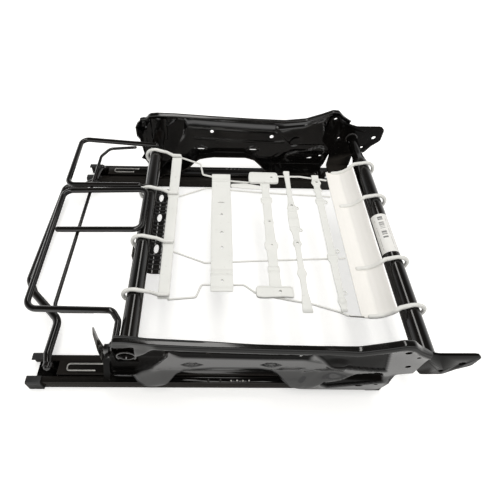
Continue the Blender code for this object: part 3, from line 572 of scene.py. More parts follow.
def side_member(name, side):
    columns = np.concatenate([np.arange(-236.0, 189.0, 2.0), [190.0]])
    low = along(MEMBER_BOTTOM, columns, 1.0)
    high = along(MEMBER_TOP, columns, 1.0) - 0.3
    foot_y = web_offset(columns, low)
    reach = along(FOOT_REACH, columns, 1.0)
    rows = []
    for t in np.linspace(0.0, 1.0, 10):
        rows.append((columns, foot_y - BEND - reach * (1.0 - t), low))
    for turn in np.radians((22.5, 45.0, 67.5)):
        rows.append((columns, foot_y - BEND + BEND * np.sin(turn), low + BEND * (1.0 - np.cos(turn))))
    width = along(TOP_WIDTH, columns, 1.0)
    curl = np.minimum(4.0, 0.6 * width)
    for t in np.linspace(0.0, 1.0, 74):
        z = low + BEND + t * (high - curl - low - BEND)
        rows.append((columns, web_offset(columns, z), z))
    top_y = web_offset(columns, high - curl)
    for turn in np.radians((22.5, 45.0, 67.5, 90.0)):
        rows.append((columns, top_y - curl * (1.0 - np.cos(turn)), high - curl * (1.0 - np.sin(turn))))
    hem = 2.0 * ease((width - 6.0) / 3.0)
    for t in np.linspace(0.15, 1.0, 8):
        inward = curl + t * (width - curl - hem)
        joggle = 1.5 * ease((inward - 6.0) / 3.0) * ease((width - 9.0) / 3.0)
        rows.append((columns, top_y - inward, high - joggle))
    for turn in np.radians((30.0, 60.0, 90.0)):
        inward = width - hem * (1.0 - np.sin(turn))
        rows.append((columns, top_y - inward, high - joggle - 0.02 - hem * (1.0 - np.cos(turn))))
    count = len(rows)
    points = []
    ear = EAR_DEPTH[side]
    insets, *tip_tables = zip(*EAR_TIP[side])
    for inset in np.linspace(ear, 2.0, 14):
        far_x, near_z, far_z = [np.interp(inset * insets[-1] / ear, insets, table) for table in tip_tables]
        far_x = far_x - 11.0 * inset / ear if side < 0 else far_x
        for j in range(count):
            z = near_z + (far_z - near_z) * j / (count - 1)
            points.append((far_x + front_slope(-236.0, z, side), side * (WEB_Y - inset), z))
    for i, x in enumerate(columns):
        for row in rows:
            z = float(row[2][i])
            points.append((x + front_slope(x, z, side), side * float(row[1][i]), z))
    obj = raw("pressed_" + name, points, grid_faces(count, 14 + len(columns), side < 0))
    thickened(obj, SHEET).use_even_offset = True
    near, far = sorted((side * (WEB_Y - 16.0), side * (WEB_Y + 24.0)))
    holes = [(circle(*TUBE_HOLE, 48), near, far)]
    holes += [([(x + a, z + b) for a, b in LOUVRE_SLIT], near, far) for x, z in LOUVRES]
    holes += [(circle(*hole), near, far) for hole in WEB_HOLES + BRACKET_HOLES]
    cut(obj, prisms(name + "_holes", holes, "XZ"))
    drills = [(circle(x, side * RAIL_Y, 3.5), FOOT_Z - 3.0, FOOT_Z + 5.0) for x in FOOT_RIVETS]
    cut(obj, prisms(name + "_drills", drills, "XY"))
    spots = np.empty(3 * len(obj.data.vertices))
    # Painted shade for the outer face, stored on the points for the enamel to take its coat off.
    obj.data.vertices.foreach_get("co", spots)
    x, y, z = spots.reshape(-1, 3).T * 1000.0
    x = x + BOX_MIDDLE_X
    outside = ease((abs(y) - web_offset(x, z) + 1.5) / 1.0)
    obj.data.attributes.new("hollow", "FLOAT", "POINT").data.foreach_set("value", hollow(x, z) * outside)
    return settle(obj, black_enamel, "seat_frame", "black_paint", name)


for side_name, side_sign in SIDES:
    side_member("side_member_" + side_name, side_sign)


# Recliner brackets: 3.5 mm plates welded inside the rear of each side member,
# in a thinner film of enamel. They are the solids of the drawing with their cut
# edges rounded over.
def dressed(node, finish, edge, crisp=32.0):
    """A merged copy of one of the solids, with its edges rounded."""
    source = nodes[node]
    copy = bpy.data.objects.new(node + "_dressed", source.data.copy())
    bpy.context.scene.collection.objects.link(copy)
    work = bmesh.new()
    work.from_mesh(copy.data)
    bmesh.ops.remove_doubles(work, verts=work.verts, dist=0.000002)
    bmesh.ops.dissolve_limit(work, angle_limit=math.radians(0.6), verts=work.verts, edges=work.edges)
    work.to_mesh(copy.data)
    work.free()
    if edge:
        bevel(copy, edge, 2, 28.0)
    fixed(copy, crisp)
    return settle(copy, finish, source["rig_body"], SLOT_OF[node], node)


SLOT_OF = {row["node"]: row["material_slot"] for row in frame["record"]["subparts"]}
for side_name in ("left", "right"):
    dressed("recliner_bracket_" + side_name, thin_enamel, 0.9)


# Cross tubes. Both are turned from one profile; the front one is opened out
# against the webs and the rear one is drawn down to a neck at its right end.
def turned_on_y(name, profile, centre_x, centre_z, sides=64):
    """A closed profile of (radius, along) turned about a line parallel to Y."""
    points = []
    for i in range(sides):
        turn = math.tau * i / sides
        for radius, place in profile:
            points.append((centre_x + radius * math.cos(turn), place, centre_z + radius * math.sin(turn)))
    count = len(profile)
    faces = []
    for i in range(sides):
        for j in range(count):
            a = i * count + j
            b = i * count + (j + 1) % count
            shift = count if i + 1 < sides else -i * count
            faces.append((a, b, b + shift, a + shift))
    return closed(raw(name, points, faces))


def rounded_profile(corners, radius, steps=4):
    """Rounds the corners of a closed outline by up to the given radius."""
    done = []
    count = len(corners)
    for i in range(count):
        here = Vector(corners[i])
        back = Vector(corners[i - 1]) - here
        on = Vector(corners[(i + 1) % count]) - here
        reach = min(radius, 0.45 * back.length, 0.45 * on.length)
        start = here + back.normalized() * reach
        end = here + on.normalized() * reach
        for k in range(steps + 1):
            t = k / steps
            done.append(tuple((1 - t) ** 2 * start + 2 * t * (1 - t) * here + t * t * end))
    return done


tube_enamel = enamel("tube_enamel", 0.03, 1.0)
FRONT_TUBE = (-199.5, 115.0)
REAR_TUBE = (199.5, 109.0)
LIP_Y = 239.0
front_half = [
    (9.2, LIP_Y - 6.0), (10.8, LIP_Y), (12.6, LIP_Y), (12.6, LIP_Y - 2.0), (11.0, LIP_Y - 2.0),
    (11.0, 234.0), (12.0, 230.0),
]
front_profile = [(radius, -place) for radius, place in reversed(front_half)] + front_half
rear_profile = [
    (14.0, -240.2), (12.0, -240.2), (12.0, 160.0), (8.5, 176.0), (8.5, 240.2), (10.5, 240.2),
    (10.5, 177.0), (14.0, 159.0),
]
for tube_name, profile, eased, centre, node in (
    ("front_tube", front_profile, 0.9, FRONT_TUBE, "front_cross_tube"),
    ("rear_tube", rear_profile, 5.0, REAR_TUBE, "rear_cross_tube"),
):
    tube = turned_on_y(tube_name, rounded_profile(profile, eased), *centre)
    settle(fixed(tube, 50.0), tube_enamel, "seat_frame", "black_paint", node)


# Slide rails. The lower rails, the sliding rails and their plastic end caps are
# the solids of the drawing with rounded edges; the caps are moulded matt black.
rail_enamel = enamel("rail_enamel", 0.02, 0.3, 0.45)
cap_finish = Finish("black_moulding", IOR=1.46)
cap_grain = cap_finish.speckle(0.9, 2.0)
cap_finish.feed(
    Base_Color=cap_finish.tint(cap_finish.speckle(14.0), (0.012, 0.012, 0.012), (0.030, 0.030, 0.031)),
    Roughness=0.42 + cap_grain * 0.2,
)
cap_finish.relief(cap_grain, 0.05)
for side_name in ("left", "right"):
    dressed("lower_rail_" + side_name, rail_enamel, 0.7)
    dressed("upper_rail_" + side_name, rail_enamel, 0.8)
    for end_name in ("front", "rear"):
        for edge_name in ("outer", "inner"):
            dressed(f"rail_cap_{end_name}_{edge_name}_{side_name}", cap_finish.material, 1.1)


# Rivets and small fasteners. One headed shape is repeated on its points; the
# foot rivets and the studs on the rails are painted, the locking teeth are zinc.
def piece_tree(name, inputs, build):
    """A tree with named inputs; what it builds is made real and gets its finish."""
    tree = bpy.data.node_groups.new(name, "GeometryNodeTree")
    for socket, kind in (*inputs.items(), ("Finish", "Material")):
        tree.interface.new_socket(socket, in_out="INPUT", socket_type="NodeSocket" + kind)
    tree.interface.new_socket("Piece", in_out="OUTPUT", socket_type="NodeSocketGeometry")
    graph = Graph(tree)
    given = {socket.name: Value(graph, socket) for socket in tree.nodes.new("NodeGroupInput").outputs}
    whole = graph.node("GeometryNodeRealizeInstances", None, {"Geometry": build(graph, given)})
    painted = graph.node("GeometryNodeSetMaterial", None, {"Geometry": whole, "Material": given["Finish"]})
    graph.set(tree.nodes.new("NodeGroupOutput").inputs[0], painted)
    return tree


def on_points(graph, given):
    """Repeats a pattern object on the points of a mesh."""
    pattern = graph.node("GeometryNodeObjectInfo", None, {"Object": given["Pattern"]}, out="Geometry")
    smallest = 1.0 - given["Spread"]
    size = graph.node("FunctionNodeRandomValue", {"data_type": "FLOAT"}, {2: smallest, 3: 1.0, 8: 7}, out=1)
    spun = graph.node(
        "FunctionNodeRandomValue", {"data_type": "FLOAT_VECTOR"},
        {0: (0.0, 0.0, 0.0), 1: (0.0, 0.0, math.tau), 8: 3},
    )
    return graph.node(
        "GeometryNodeInstanceOnPoints", None,
        {"Points": given["Points"], "Instance": pattern, "Rotation": spun, "Scale": size},
    )


def grown(obj, tree, **inputs):
    """Runs a node tree on an object, its inputs set by their identifiers."""
    step = obj.modifiers.new(tree.name, "NODES")
    step.node_group = tree
    for item in tree.interface.items_tree:
        if item.item_type == "SOCKET" and item.in_out == "INPUT" and item.name in inputs:
            step[item.identifier] = inputs[item.name]
    return obj


copies = piece_tree("Copies on points", {"Points": "Geometry", "Pattern": "Object", "Spread": "Float"}, on_points)


def repeated(name, pattern, places, finish, body, slot, *replaced, spread=0.0):
    obj = raw(name, places, [])
    grown(obj, copies, Pattern=pattern, Spread=spread, Finish=finish)
    fixed(obj, 40.0)
    return settle(obj, finish, body, slot, *replaced)


def headed(name, profile, sides=20):
    """A small turned piece about Z at the origin, in millimetres."""
    points = []
    for i in range(sides):
        turn = math.tau * i / sides
        points += [(r * math.cos(turn) / 1000.0, r * math.sin(turn) / 1000.0, z / 1000.0) for r, z in profile]
    count = len(profile)
    faces = []
    for i in range(sides):
        for j in range(count - 1):
            a = i * count + j
            b = ((i + 1) % sides) * count + j
            faces.append((a, b, b + 1, a + 1))
    mesh = bpy.data.meshes.new(name)
    mesh.from_pydata(points, [], faces)
    obj = bpy.data.objects.new(name, mesh)
    return closed(obj)


zinc = Finish("bright_zinc", Metallic=1.0)
zinc_cloud = zinc.speckle(4.0, 4.0)
zinc.feed(
    Base_Color=zinc.tint(zinc_cloud, (0.40, 0.39, 0.37), (0.66, 0.65, 0.62)),
    Roughness=0.24 + zinc_cloud * 0.2,
)
zinc.relief(zinc.speckle(1.2), 0.03)
rivet_head = headed("rivet_head", [
    (0.0, 2.5), (1.6, 2.4), (3.6, 2.0), (5.2, 1.2), (6.0, 0.3), (6.0, 0.0), (3.2, 0.0), (3.2, -4.6),
    (4.9, -4.6), (5.0, -5.0), (4.4, -5.7), (0.0, -5.8),
])
for side_name, side_sign in SIDES:
    repeated(
        "foot_rivets_" + side_name, rivet_head,
        [(x, side_sign * RAIL_Y, FOOT_Z + SHEET + 0.3) for x in FOOT_RIVETS],
        black_enamel, "seat_frame", "black_paint",
        *[f"foot_rivet_{side_name}_{i}" for i in (1, 2, 3, 4)],
    )
stud = headed("rail_stud", [(0.0, 1.8), (1.3, 1.6), (2.0, 0.8), (2.1, 0.0), (1.8, -0.4), (0.0, -0.4)], 14)
tooth = headed("locking_tooth", [(0.0, -1.0), (1.0, -1.0), (1.55, -1.5), (1.6, -4.0), (0.0, -4.0)], 14)
for side_name, side_sign in SIDES:
    window_y = side_sign * (RAIL_Y + 17.0)
    repeated(
        "locking_teeth_" + side_name, tooth, [(-58.0 + 9.0 * i, window_y, 22.0) for i in range(4)],
        zinc.material, "lower_rails", "latch_steel",
    )
    repeated(
        "rail_studs_" + side_name, stud, [(x, window_y, 22.2) for x in (-92.0, -74.0, 96.0, 118.0)],
        rail_enamel, "lower_rails", "black_paint",
    )


# Latches, pins and springs inside the sliding rails, in bare zinc-plated steel.
# They are the solids of the drawing with their edges broken.
for side_name in ("left", "right"):
    dressed("latch_" + side_name, zinc.material, 0.4)
    dressed("release_pin_" + side_name, zinc.material, 0.3)
    dressed("latch_pin_" + side_name, zinc.material, 0.3)


# Wires and bars. Round stock is swept along its bends: each path is a line of
# points, with a girth at every point that rounds the ends.
def bend_path(corners, steps=10):
    """Corners are (x, y, z, radius); bends are arcs of that radius."""
    done = []
    for i, corner in enumerate(corners):
        here = Vector(corner[:3])
        radius = corner[3]
        if radius <= 0.0 or i in (0, len(corners) - 1):
            done.append(here)
            continue
        to_last = (Vector(corners[i - 1][:3]) - here).normalized()
        to_next = (Vector(corners[i + 1][:3]) - here).normalized()
        half = 0.5 * to_last.angle(to_next)
        back = radius / math.tan(half)
        start = here + to_last * back
        end = here + to_next * back
        middle = here + (to_last + to_next).normalized() * (radius / math.sin(half))
        for k in range(steps + 1):
            mix = start.lerp(end, k / steps) - middle
            done.append(middle + mix.normalized() * radius)
    return done


def spaced(path, pitch):
    """The same line with points no further apart than the pitch."""
    done = [path[0]]
    for here, after in zip(path, path[1:]):
        parts = max(1, math.ceil((after - here).length / pitch))
        done += [here.lerp(after, k / parts) for k in range(1, parts + 1)]
    return done


def along_path(graph, given):
    """Sweeps round stock along a line of points, with a girth at each point."""
    line = graph.node("GeometryNodeMeshToCurve", None, {"Mesh": given["Path"]})
    girth = graph.node("GeometryNodeInputNamedAttribute", {"data_type": "FLOAT"}, {"Name": "girth"})
    ring = graph.node("GeometryNodeCurvePrimitiveCircle", None, {"Resolution": given["Sides"], "Radius": 1.0})
    return graph.node(
        "GeometryNodeCurveToMesh", None,
        {"Curve": line, "Profile Curve": ring, "Scale": girth * given["Radius"], "Fill Caps": True},
    )


rods = piece_tree("Rod along a path", {"Path": "Geometry", "Radius": "Float", "Sides": "Int"}, along_path)


def rod(name, path, radius, finish, sides=24, girth=None, pitch=4.0):
    """Round stock with domed ends, as a plain closed mesh."""
    path = spaced(path, pitch)
    first = (path[1] - path[0]).normalized()
    last = (path[-1] - path[-2]).normalized()
    dome = ((0.04, 1.0), (0.5, 0.86), (0.8, 0.6), (0.95, 0.3))
    points = [path[0] - first * radius * 0.9 * back for _, back in dome]
    widths = [width for width, _ in dome]
    points += path
    widths += [girth(k / (len(path) - 1)) if girth else 1.0 for k in range(len(path))]
    points += [path[-1] + last * radius * 0.9 * back for _, back in reversed(dome)]
    widths += [width for width, _ in reversed(dome)]
    mesh = bpy.data.meshes.new(name)
    mesh.from_pydata([metres(*point) for point in points], [(i, i + 1) for i in range(len(points) - 1)], [])
    mesh.attributes.new("girth", "FLOAT", "POINT").data.foreach_set("value", widths)
    obj = bpy.data.objects.new(name, mesh)
    bpy.context.scene.collection.objects.link(obj)
    grown(obj, rods, Radius=radius / 1000.0, Sides=sides, Finish=finish)
    return closed(fixed(obj, 60.0))


for side_name, side_sign in SIDES:
    y = side_sign * RAIL_Y
    hairpin = bend_path([
        (-262.0, y - 5.0, 27.5, 0.0), (-304.0, y - 5.0, 27.5, 4.0), (-304.0, y + 5.0, 27.5, 4.0),
        (-252.0, y + 5.0, 27.5, 0.0),
    ])
    spring = rod("latch_spring_wire_" + side_name, hairpin, 1.2, zinc.material, 12)
    settle(spring, zinc.material, "seat_frame", "latch_steel", "latch_spring_" + side_name)


# Release bar, under the front edge: one tube, bent and flattened at both ends
# into tongues that reach into the rails and turn on the release pins.
BAR_Z = 35.0
bar_ends = [(-331.0, 223.0, 33.0, 0.0), (-335.5, 203.0, BAR_Z, 10.0)]
bar_right = bar_ends + [
    (-337.0, 178.0, BAR_Z, 12.0), (-356.0, 162.5, BAR_Z, 12.0), (-394.0, 158.5, BAR_Z, 12.0),
]
bar_left = bar_ends + [(-333.5, 147.0, BAR_Z, 22.0), (-386.0, 97.0, BAR_Z, 14.0), (-400.0, 72.0, BAR_Z, 14.0)]
bar_left = [(x, -y, z, r) for x, y, z, r in bar_left]
release_bar = rod("release_bar", bend_path(bar_left + bar_right[::-1]), 6.2, tube_enamel, 32)
tongues = []
for side_sign in (-1.0, 1.0):
    outline = rounded_profile([
        (-288.0, 10.6), (-288.0, 17.4), (-318.0, 17.4), (-322.0, 22.0), (-323.5, 36.0),
        (-327.0, 40.6), (-335.0, 40.6), (-339.0, 36.0), (-338.0, 16.0), (-333.0, 10.6),
    ], 3.0)
    tongues.append((outline, *sorted((side_sign * (RAIL_Y - 3.5), side_sign * (RAIL_Y + 3.5)))))
tongue_plates = fixed(bevel(prisms("release_tongues", tongues, "XZ"), 1.0))
cut(release_bar, tongue_plates, "UNION")
settle(fixed(release_bar, 40.0), tube_enamel, "release_lever", "black_paint", "slide_release_bar")


# Front wires: two loops of 9 mm wire welded on top of the front tube carry the
# cushion's front edge, and a thin wire ties them together from below.
WIRE_R = 4.5
WIRE_Z = 131.8
WIRE_FRONT_X = -343.0
tube_x = FRONT_TUBE[0]
THIN_R = 2.7
THIN_Z = WIRE_Z - WIRE_R - THIN_R - 0.3
left_corners = [
    (tube_x - 16.5, -225.0, 121.0, 0.0), (tube_x - 16.5, -191.0, 121.0, 7.0),
    (-224.0, -181.0, WIRE_Z, 9.0), (WIRE_FRONT_X, -179.0, WIRE_Z, 15.0),
    (WIRE_FRONT_X, 49.0, WIRE_Z, 15.0), (tube_x - 3.0, 54.0, WIRE_Z, 13.0),
    (tube_x - 3.0, -36.0, WIRE_Z, 13.0), (WIRE_FRONT_X + 9.3, -38.0, WIRE_Z, 0.0),
]
right_corners = [
    (tube_x + 2.0, 176.0, WIRE_Z, 0.0), (WIRE_FRONT_X, 191.0, WIRE_Z, 13.0),
    (WIRE_FRONT_X, 64.0, WIRE_Z, 13.0), (tube_x - 18.0, 65.0, WIRE_Z, 0.0),
]
tie_corners = [
    (-252.0, -179.0, THIN_Z, 0.0), (-307.0, -179.0, THIN_Z, 13.0), (-301.0, 150.0, THIN_Z, 13.0),
    (-288.0, 172.0, THIN_Z, 12.0), (-240.0, 178.0, THIN_Z, 0.0),
]
for wire_name, corners, radius, sides, node in (
    ("cushion_wire_left", left_corners, WIRE_R, 24, "front_wire_left"),
    ("cushion_wire_right", right_corners, WIRE_R, 24, "front_wire_right"),
    ("tie_wire", tie_corners, THIN_R, 16, "front_support_wire"),
):
    wire = rod(wire_name, bend_path(corners), radius, tube_enamel, sides)
    settle(wire, tube_enamel, "seat_frame", "black_paint", node)


# Weld beads. Overlapping drops of weld metal along each joint of the wires and
# tubes, painted over with the frame.
drop = headed("weld_drop", [
    (0.0, 1.0), (0.5, 0.87), (0.87, 0.5), (1.0, 0.0), (0.87, -0.5), (0.5, -0.87), (0.0, -1.0),
], 14)


def weld(name, path, size):
    """A run of drops of the given radius, a little under half of it apart."""
    run = spaced([Vector(point) for point in path], size * 0.45)
    for part in drop.data.vertices:
        part.co = part.co.normalized() * size / 1000.0 if part.co.length else part.co
    return repeated(name, drop, run, black_enamel, "seat_frame", "black_paint", spread=0.3)


wire_welds = (
    ("weld_loop_middle", [(-205.5, y, 128.4) for y in (-18.0, 0.0, 18.0)]),
    ("weld_loop_side", [(-213.0, -222.0, 119.5), (-213.0, -196.0, 119.5)]),
    ("weld_loop_right", [(-197.0, 170.4, 128.2), (-206.0, 171.4, 128.0)]),
    ("weld_loop_inner", [(-211.0, 69.6, 128.0), (-204.0, 69.5, 128.2)]),
    ("weld_loop_left", [(-205.5, 36.0, 128.4), (-205.5, 24.0, 128.4)]),
)
for weld_name, weld_path in wire_welds:
    weld(weld_name, weld_path, 1.7)
for side_name, side_sign in SIDES:
    rear_radius = 14.6 if side_sign < 0 else 11.1
    for tube_name, centre, radius, y, turns in (
        ("front", FRONT_TUBE, 12.6, 238.6, np.linspace(-0.6, math.pi + 0.6, 14)),
        ("rear", REAR_TUBE, rear_radius, 239.0, np.linspace(0.0, math.tau, 24)),
    ):
        ring = [(centre[0] + radius * math.cos(a), side_sign * y, centre[1] + radius * math.sin(a)) for a in turns]
        weld(f"weld_{tube_name}_tube_{side_name}", ring, 1.9)


# Front bracket plate, spot welded under the front tube: ridged across, with
# three long slots and a tab that clips the front of the tube.
PLATE_LINE = ((-207.5, 99.5), (-190.0, 100.0), (-184.0, 97.0), (-170.0, 97.0), (-164.0, 94.5), (-154.0, 94.5))
PLATE_SLOTS = ((-182.0, 66.0), (-181.0, 18.0), (-180.0, -50.0))


def plate_height(x, y):
    flat = along(PLATE_LINE, x, 1.0)
    ridges = hill(((y + 300.0) % 9.0 - 4.5) / 1.6) * from_to(x, -198.0, -158.0, 5.0, 4.0)
    clear = np.ones_like(y)
    for _, slot_y in PLATE_SLOTS:
        clear = clear * (1.0 - hill((y - slot_y) / 13.0))
    return flat - 1.4 * ridges * clear


plate_x = np.linspace(-207.0, -154.0, 36)
plate_y = np.linspace(-98.0, 88.0, 150)
plate_points = []
for y in plate_y:
    plate_points += [(x, y, z + 1.0) for x, z in zip(plate_x, plate_height(plate_x, np.full_like(plate_x, y)))]
plate = raw("tube_bracket_plate", plate_points, grid_faces(len(plate_x), len(plate_y), True))
thickened(plate, 2.0)
slots = [(circle(x, y, 9.6, 24, 4.0 / 9.6), 88.0, 106.0) for x, y in PLATE_SLOTS]
cut(plate, prisms("plate_slots", slots, "XY"))
TAB_LINE = ((-196.0, 100.0), (-208.0, 100.0), (-213.2, 105.0), (-213.2, 118.0))


def thick_line(points, thickness):
    """The outline of a bent strip of even thickness, along an open line."""
    line = [Vector(p) for p in points]
    sides = ([], [])
    for i, here in enumerate(line):
        back = (here - line[i - 1]).normalized() if i else None
        ahead_of = (line[i + 1] - here).normalized() if i + 1 < len(line) else None
        first = back or ahead_of
        second = ahead_of or back
        across = Vector((-first.y - second.y, first.x + second.x)).normalized()
        reach = 0.5 * thickness / across.dot(Vector((-first.y, first.x)))
        sides[0].append(tuple(here + across * reach))
        sides[1].append(tuple(here - across * reach))
    return sides[0] + sides[1][::-1]


tab = prisms("plate_tab", [(thick_line(TAB_LINE, 1.8), -78.0, -60.0)], "XZ")
settle(cut(plate, tab, "UNION"), black_enamel, "seat_frame", "black_paint", "front_bracket_plate")


# Suspension mat. Its strips, pad and straps are moulded in off-white plastic
# over coated wires, with creases, bosses and rings where they cross.
MAT_Z = 112.0
MAT_UNDER = MAT_Z - 1.3
STRIP_THICK = 3.0
STRAP_THICK = 2.6
moulding = Finish("white_moulding", IOR=1.46)
cloud = moulding.speckle(40.0, 3.0)
grime = moulding.between(moulding.speckle(7.0, 5.0), 0.6, 0.8)
moulding_tone = moulding.tint(cloud, (0.72, 0.73, 0.70), (0.83, 0.83, 0.80))
moulding.feed(
    Base_Color=moulding.tint(grime * 0.35, moulding_tone, (0.50, 0.49, 0.46)),
    Roughness=0.42 + moulding.speckle(5.0) * 0.16,
)
moulding.relief(moulding.speckle(1.6) * 0.4 + moulding.speckle(9.0), 0.12)


def raised(x, y, ridges, bosses):
    """How far the ridges, creases and round bosses raise a strap's top at a place."""
    lift = 0.0
    for height, width, places in ridges:
        lift += height * sum(hill((y - place) / width) for place in places)
    for place_x, place_y, radius, height in bosses:
        lift += height * ease((radius - math.hypot(x - place_x, y - place_y)) / 1.2 + 0.5)
    return float(lift)


def moulded_strap(name, centre, thickness, widths, ridges, bosses=(), pitch=1.5, ring=36):
    """A strap along Y with a rounded section and a relief on its top side."""
    low_y, high_y = widths[0][0], widths[-1][0]
    steps = max(8, int((high_y - low_y) / pitch))
    points = []
    for k in range(steps + 1):
        y = low_y + (high_y - low_y) * k / steps
        end = min(y - low_y, high_y - y) / 1.6
        tuck = math.sqrt(max(0.0, 1.0 - (1.0 - min(end, 1.0)) ** 2))
        half = float(along(widths, y, 0.7)) - 0.8 * (1.0 - tuck)
        for i in range(ring):
            turn = math.tau * i / ring
            a, b = math.cos(turn), math.sin(turn)
            x = half * math.copysign(abs(a) ** 0.35, a)
            z = 0.5 * thickness * (0.35 + 0.65 * tuck) * math.copysign(abs(b) ** 0.55, b)
            lift = raised(x, y, ridges, bosses) * b ** 0.3 if b > 0 else 0.0
            points.append((centre + x, y, MAT_UNDER + 0.5 * thickness + z + lift))
    faces = [tuple(range(ring - 1, -1, -1)), tuple(range(steps * ring, (steps + 1) * ring))]
    for k in range(steps):
        for i in range(ring):
            j = (i + 1) % ring
            faces.append((k * ring + i, k * ring + j, (k + 1) * ring + j, (k + 1) * ring + i))
    return closed(raw(name, points, faces))


def moulded(obj, *node):
    """Finishes a piece of the white moulding."""
    return settle(fixed(obj, 40.0), moulding.material, "seat_frame", "mat_plastic", *node)


def pierced(obj, holes):
    """Round holes through a moulded piece: (x, y, radius)."""
    drills = [(circle(x, y, r, 20), MAT_Z - 12.0, MAT_Z + 16.0) for x, y, r in holes]
    return cut(obj, prisms(obj.name + "_holes", drills, "XY"))


strip = moulded_strap(
    "mat_strip", -159.0, STRIP_THICK,
    [(-151, 8.6), (-146, 9.0), (-136, 8.6), (-60, 8.8), (-52, 9.6), (-44, 9.6), (-38, 8.8),
     (54, 8.8), (58, 10.2), (66, 10.2), (70, 8.6), (100, 8.8), (150, 9.4), (169, 9.2)],
    [(1.3, 1.1, (65, 59, -45, -51, -144, 160)), (-0.5, 1.4, (62, -48))],
)
moulded(strip, "mat_front_strip")

pad = moulded_strap(
    "mat_pad", -73.5, STRAP_THICK,
    [(-138, 17.0), (-128, 17.4), (-118, 17.2), (-90, 17.0), (-60, 17.6), (-20, 17.4), (40, 17.6),
     (62, 16.8), (92, 17.0), (118, 17.3)],
    [(1.5, 1.3, (101.0, 95.5)), (1.6, 1.5, (-101.0, -108.0)), (1.2, 1.6, (-131.0, 113.0)),
     (-0.7, 1.2, (98.2, -104.5))],
    [(0.5, 15.0, 4.6, 0.8), (0.5, -25.0, 4.6, 0.8)], 1.2, 48,
)
pierced(pad, [(-73.0, 15.0, 2.2), (-73.0, -25.0, 2.4), (-73.0, -56.0, 2.2), (-73.0, -119.0, 2.0)])
slit = [(-73.5 + a, 44.0 + b) for a, b in ((-6, 0), (-4, 1.2), (4, 1.2), (6, 0), (4, -1.2), (-4, -1.2))]
cut(pad, prisms("pad_slit", [(slit, 100.0, 128.0)], "XY"))
moulded(pad, "mat_wide_pad")

second = moulded_strap(
    "mat_second_strap", 7.0, STRAP_THICK,
    [(-130, 9.5), (-128, 9.5), (-104, 8.6), (-101, 9.6), (-93, 9.6), (-90, 7.4), (-74, 8.0),
     (-60, 8.4), (-54, 11.2), (-47, 11.2), (-40, 8.2), (-6, 7.4), (0, 8.8), (6, 7.4), (44, 7.6),
     (48, 10.4), (56, 10.4), (60, 7.0), (78, 6.6), (84, 8.8), (95, 8.8)],
    [(1.3, 1.2, (-94.0, -101.0, 50.0, 55.0))],
    [(1.0, 0.0, 4.6, 1.1), (1.0, -50.0, 4.8, 1.1), (0.0, 87.0, 6.5, 1.5)],
)
pierced(second, [(8.0, 0.0, 2.0), (8.0, -50.0, 1.4)])


def block(name, outline, low, high):
    """A moulded block with a rounded rim and a shallow tray in its top."""
    body = prisms(name, [(rounded_profile(outline, 5.0, 5), low, high)], "XY")
    fixed(bevel(body, 1.4, 3, 50.0), 40.0)
    middle = Vector((sum(a for a, _ in outline), sum(b for _, b in outline))) / len(outline)
    inner = []
    for point in outline:
        way = Vector(point) - middle
        inner.append(tuple(middle + way - Vector((math.copysign(2.6, way.x), math.copysign(2.6, way.y)))))
    tray = prisms(name + "_tray", [(rounded_profile(inner, 4.0, 5), high - 0.8, high + 3.0)], "XY")
    return cut(body, tray)


BLOCK_UNDER = 110.6
for block_name, block_top, hole, outline in (
    ("far_block", 116.4, (20.0, 108.0, 2.4),
     [(-22.0, 94.0), (32.0, 94.0), (33.0, 108.0), (31.0, 121.0), (-21.0, 122.0), (-23.0, 108.0)]),
    ("near_block", 116.0, (13.0, -138.0, 2.2),
     [(-23.0, -148.0), (-10.0, -149.0), (20.0, -147.0), (33.0, -149.0), (33.0, -129.0), (-23.0, -128.5)]),
):
    cut(second, pierced(block(block_name, outline, BLOCK_UNDER, block_top), [hole]), "UNION")
moulded(second, "mat_strap_second")

third = moulded_strap(
    "mat_third_strap", 50.0, STRAP_THICK,
    [(-172, 7.8), (-166, 7.6), (-150, 6.4), (-136, 4.6), (-114, 4.8), (-104, 8.2), (-94, 5.0),
     (-70, 4.6), (-54, 4.8), (-46, 8.0), (-38, 5.0), (-24, 6.2), (-16, 9.0), (-6, 9.0), (2, 9.6),
     (12, 9.2), (24, 8.6), (30, 7.6), (34, 9.0), (42, 6.0), (60, 4.4), (72, 5.4), (80, 4.2),
     (104, 4.6), (118, 5.4), (128, 5.8)],
    [(1.4, 1.1, (28.0, 23.0, -13.0, -18.0)), (1.2, 3.0, (5.0,)), (1.6, 1.6, (-168.0, 126.0))],
    [(0.0, 38.0, 6.0, 1.5), (0.0, -46.0, 6.0, 1.4)],
)
moulded(pierced(third, [(50.0, 38.0, 2.4), (50.0, -46.0, 2.2)]), "mat_strap_third")

fourth = moulded_strap(
    "mat_fourth_strap", 103.0, STRAP_THICK,
    [(-170, 5.0), (-162, 4.6), (-152, 7.0), (-144, 4.6), (-128, 5.0), (-110, 5.6), (-84, 5.6),
     (-78, 8.6), (-68, 8.6), (-64, 5.8), (-20, 6.0), (24, 6.2), (42, 6.4), (47, 8.6), (55, 8.6),
     (58, 5.4), (72, 5.8), (78, 8.4), (84, 5.6), (90, 5.8), (98, 9.4), (108, 6.2), (119, 6.6)],
    [(1.3, 1.1, (50.0, 54.0, -71.0, -76.0)), (1.4, 1.6, (116.0, -167.0))],
    [(0.0, 98.0, 6.6, 1.7), (0.0, 78.0, 6.0, 1.2), (0.0, -152.0, 5.0, 1.4)],
)
moulded(pierced(fourth, [(103.0, 98.0, 2.6)]), "mat_strap_fourth")


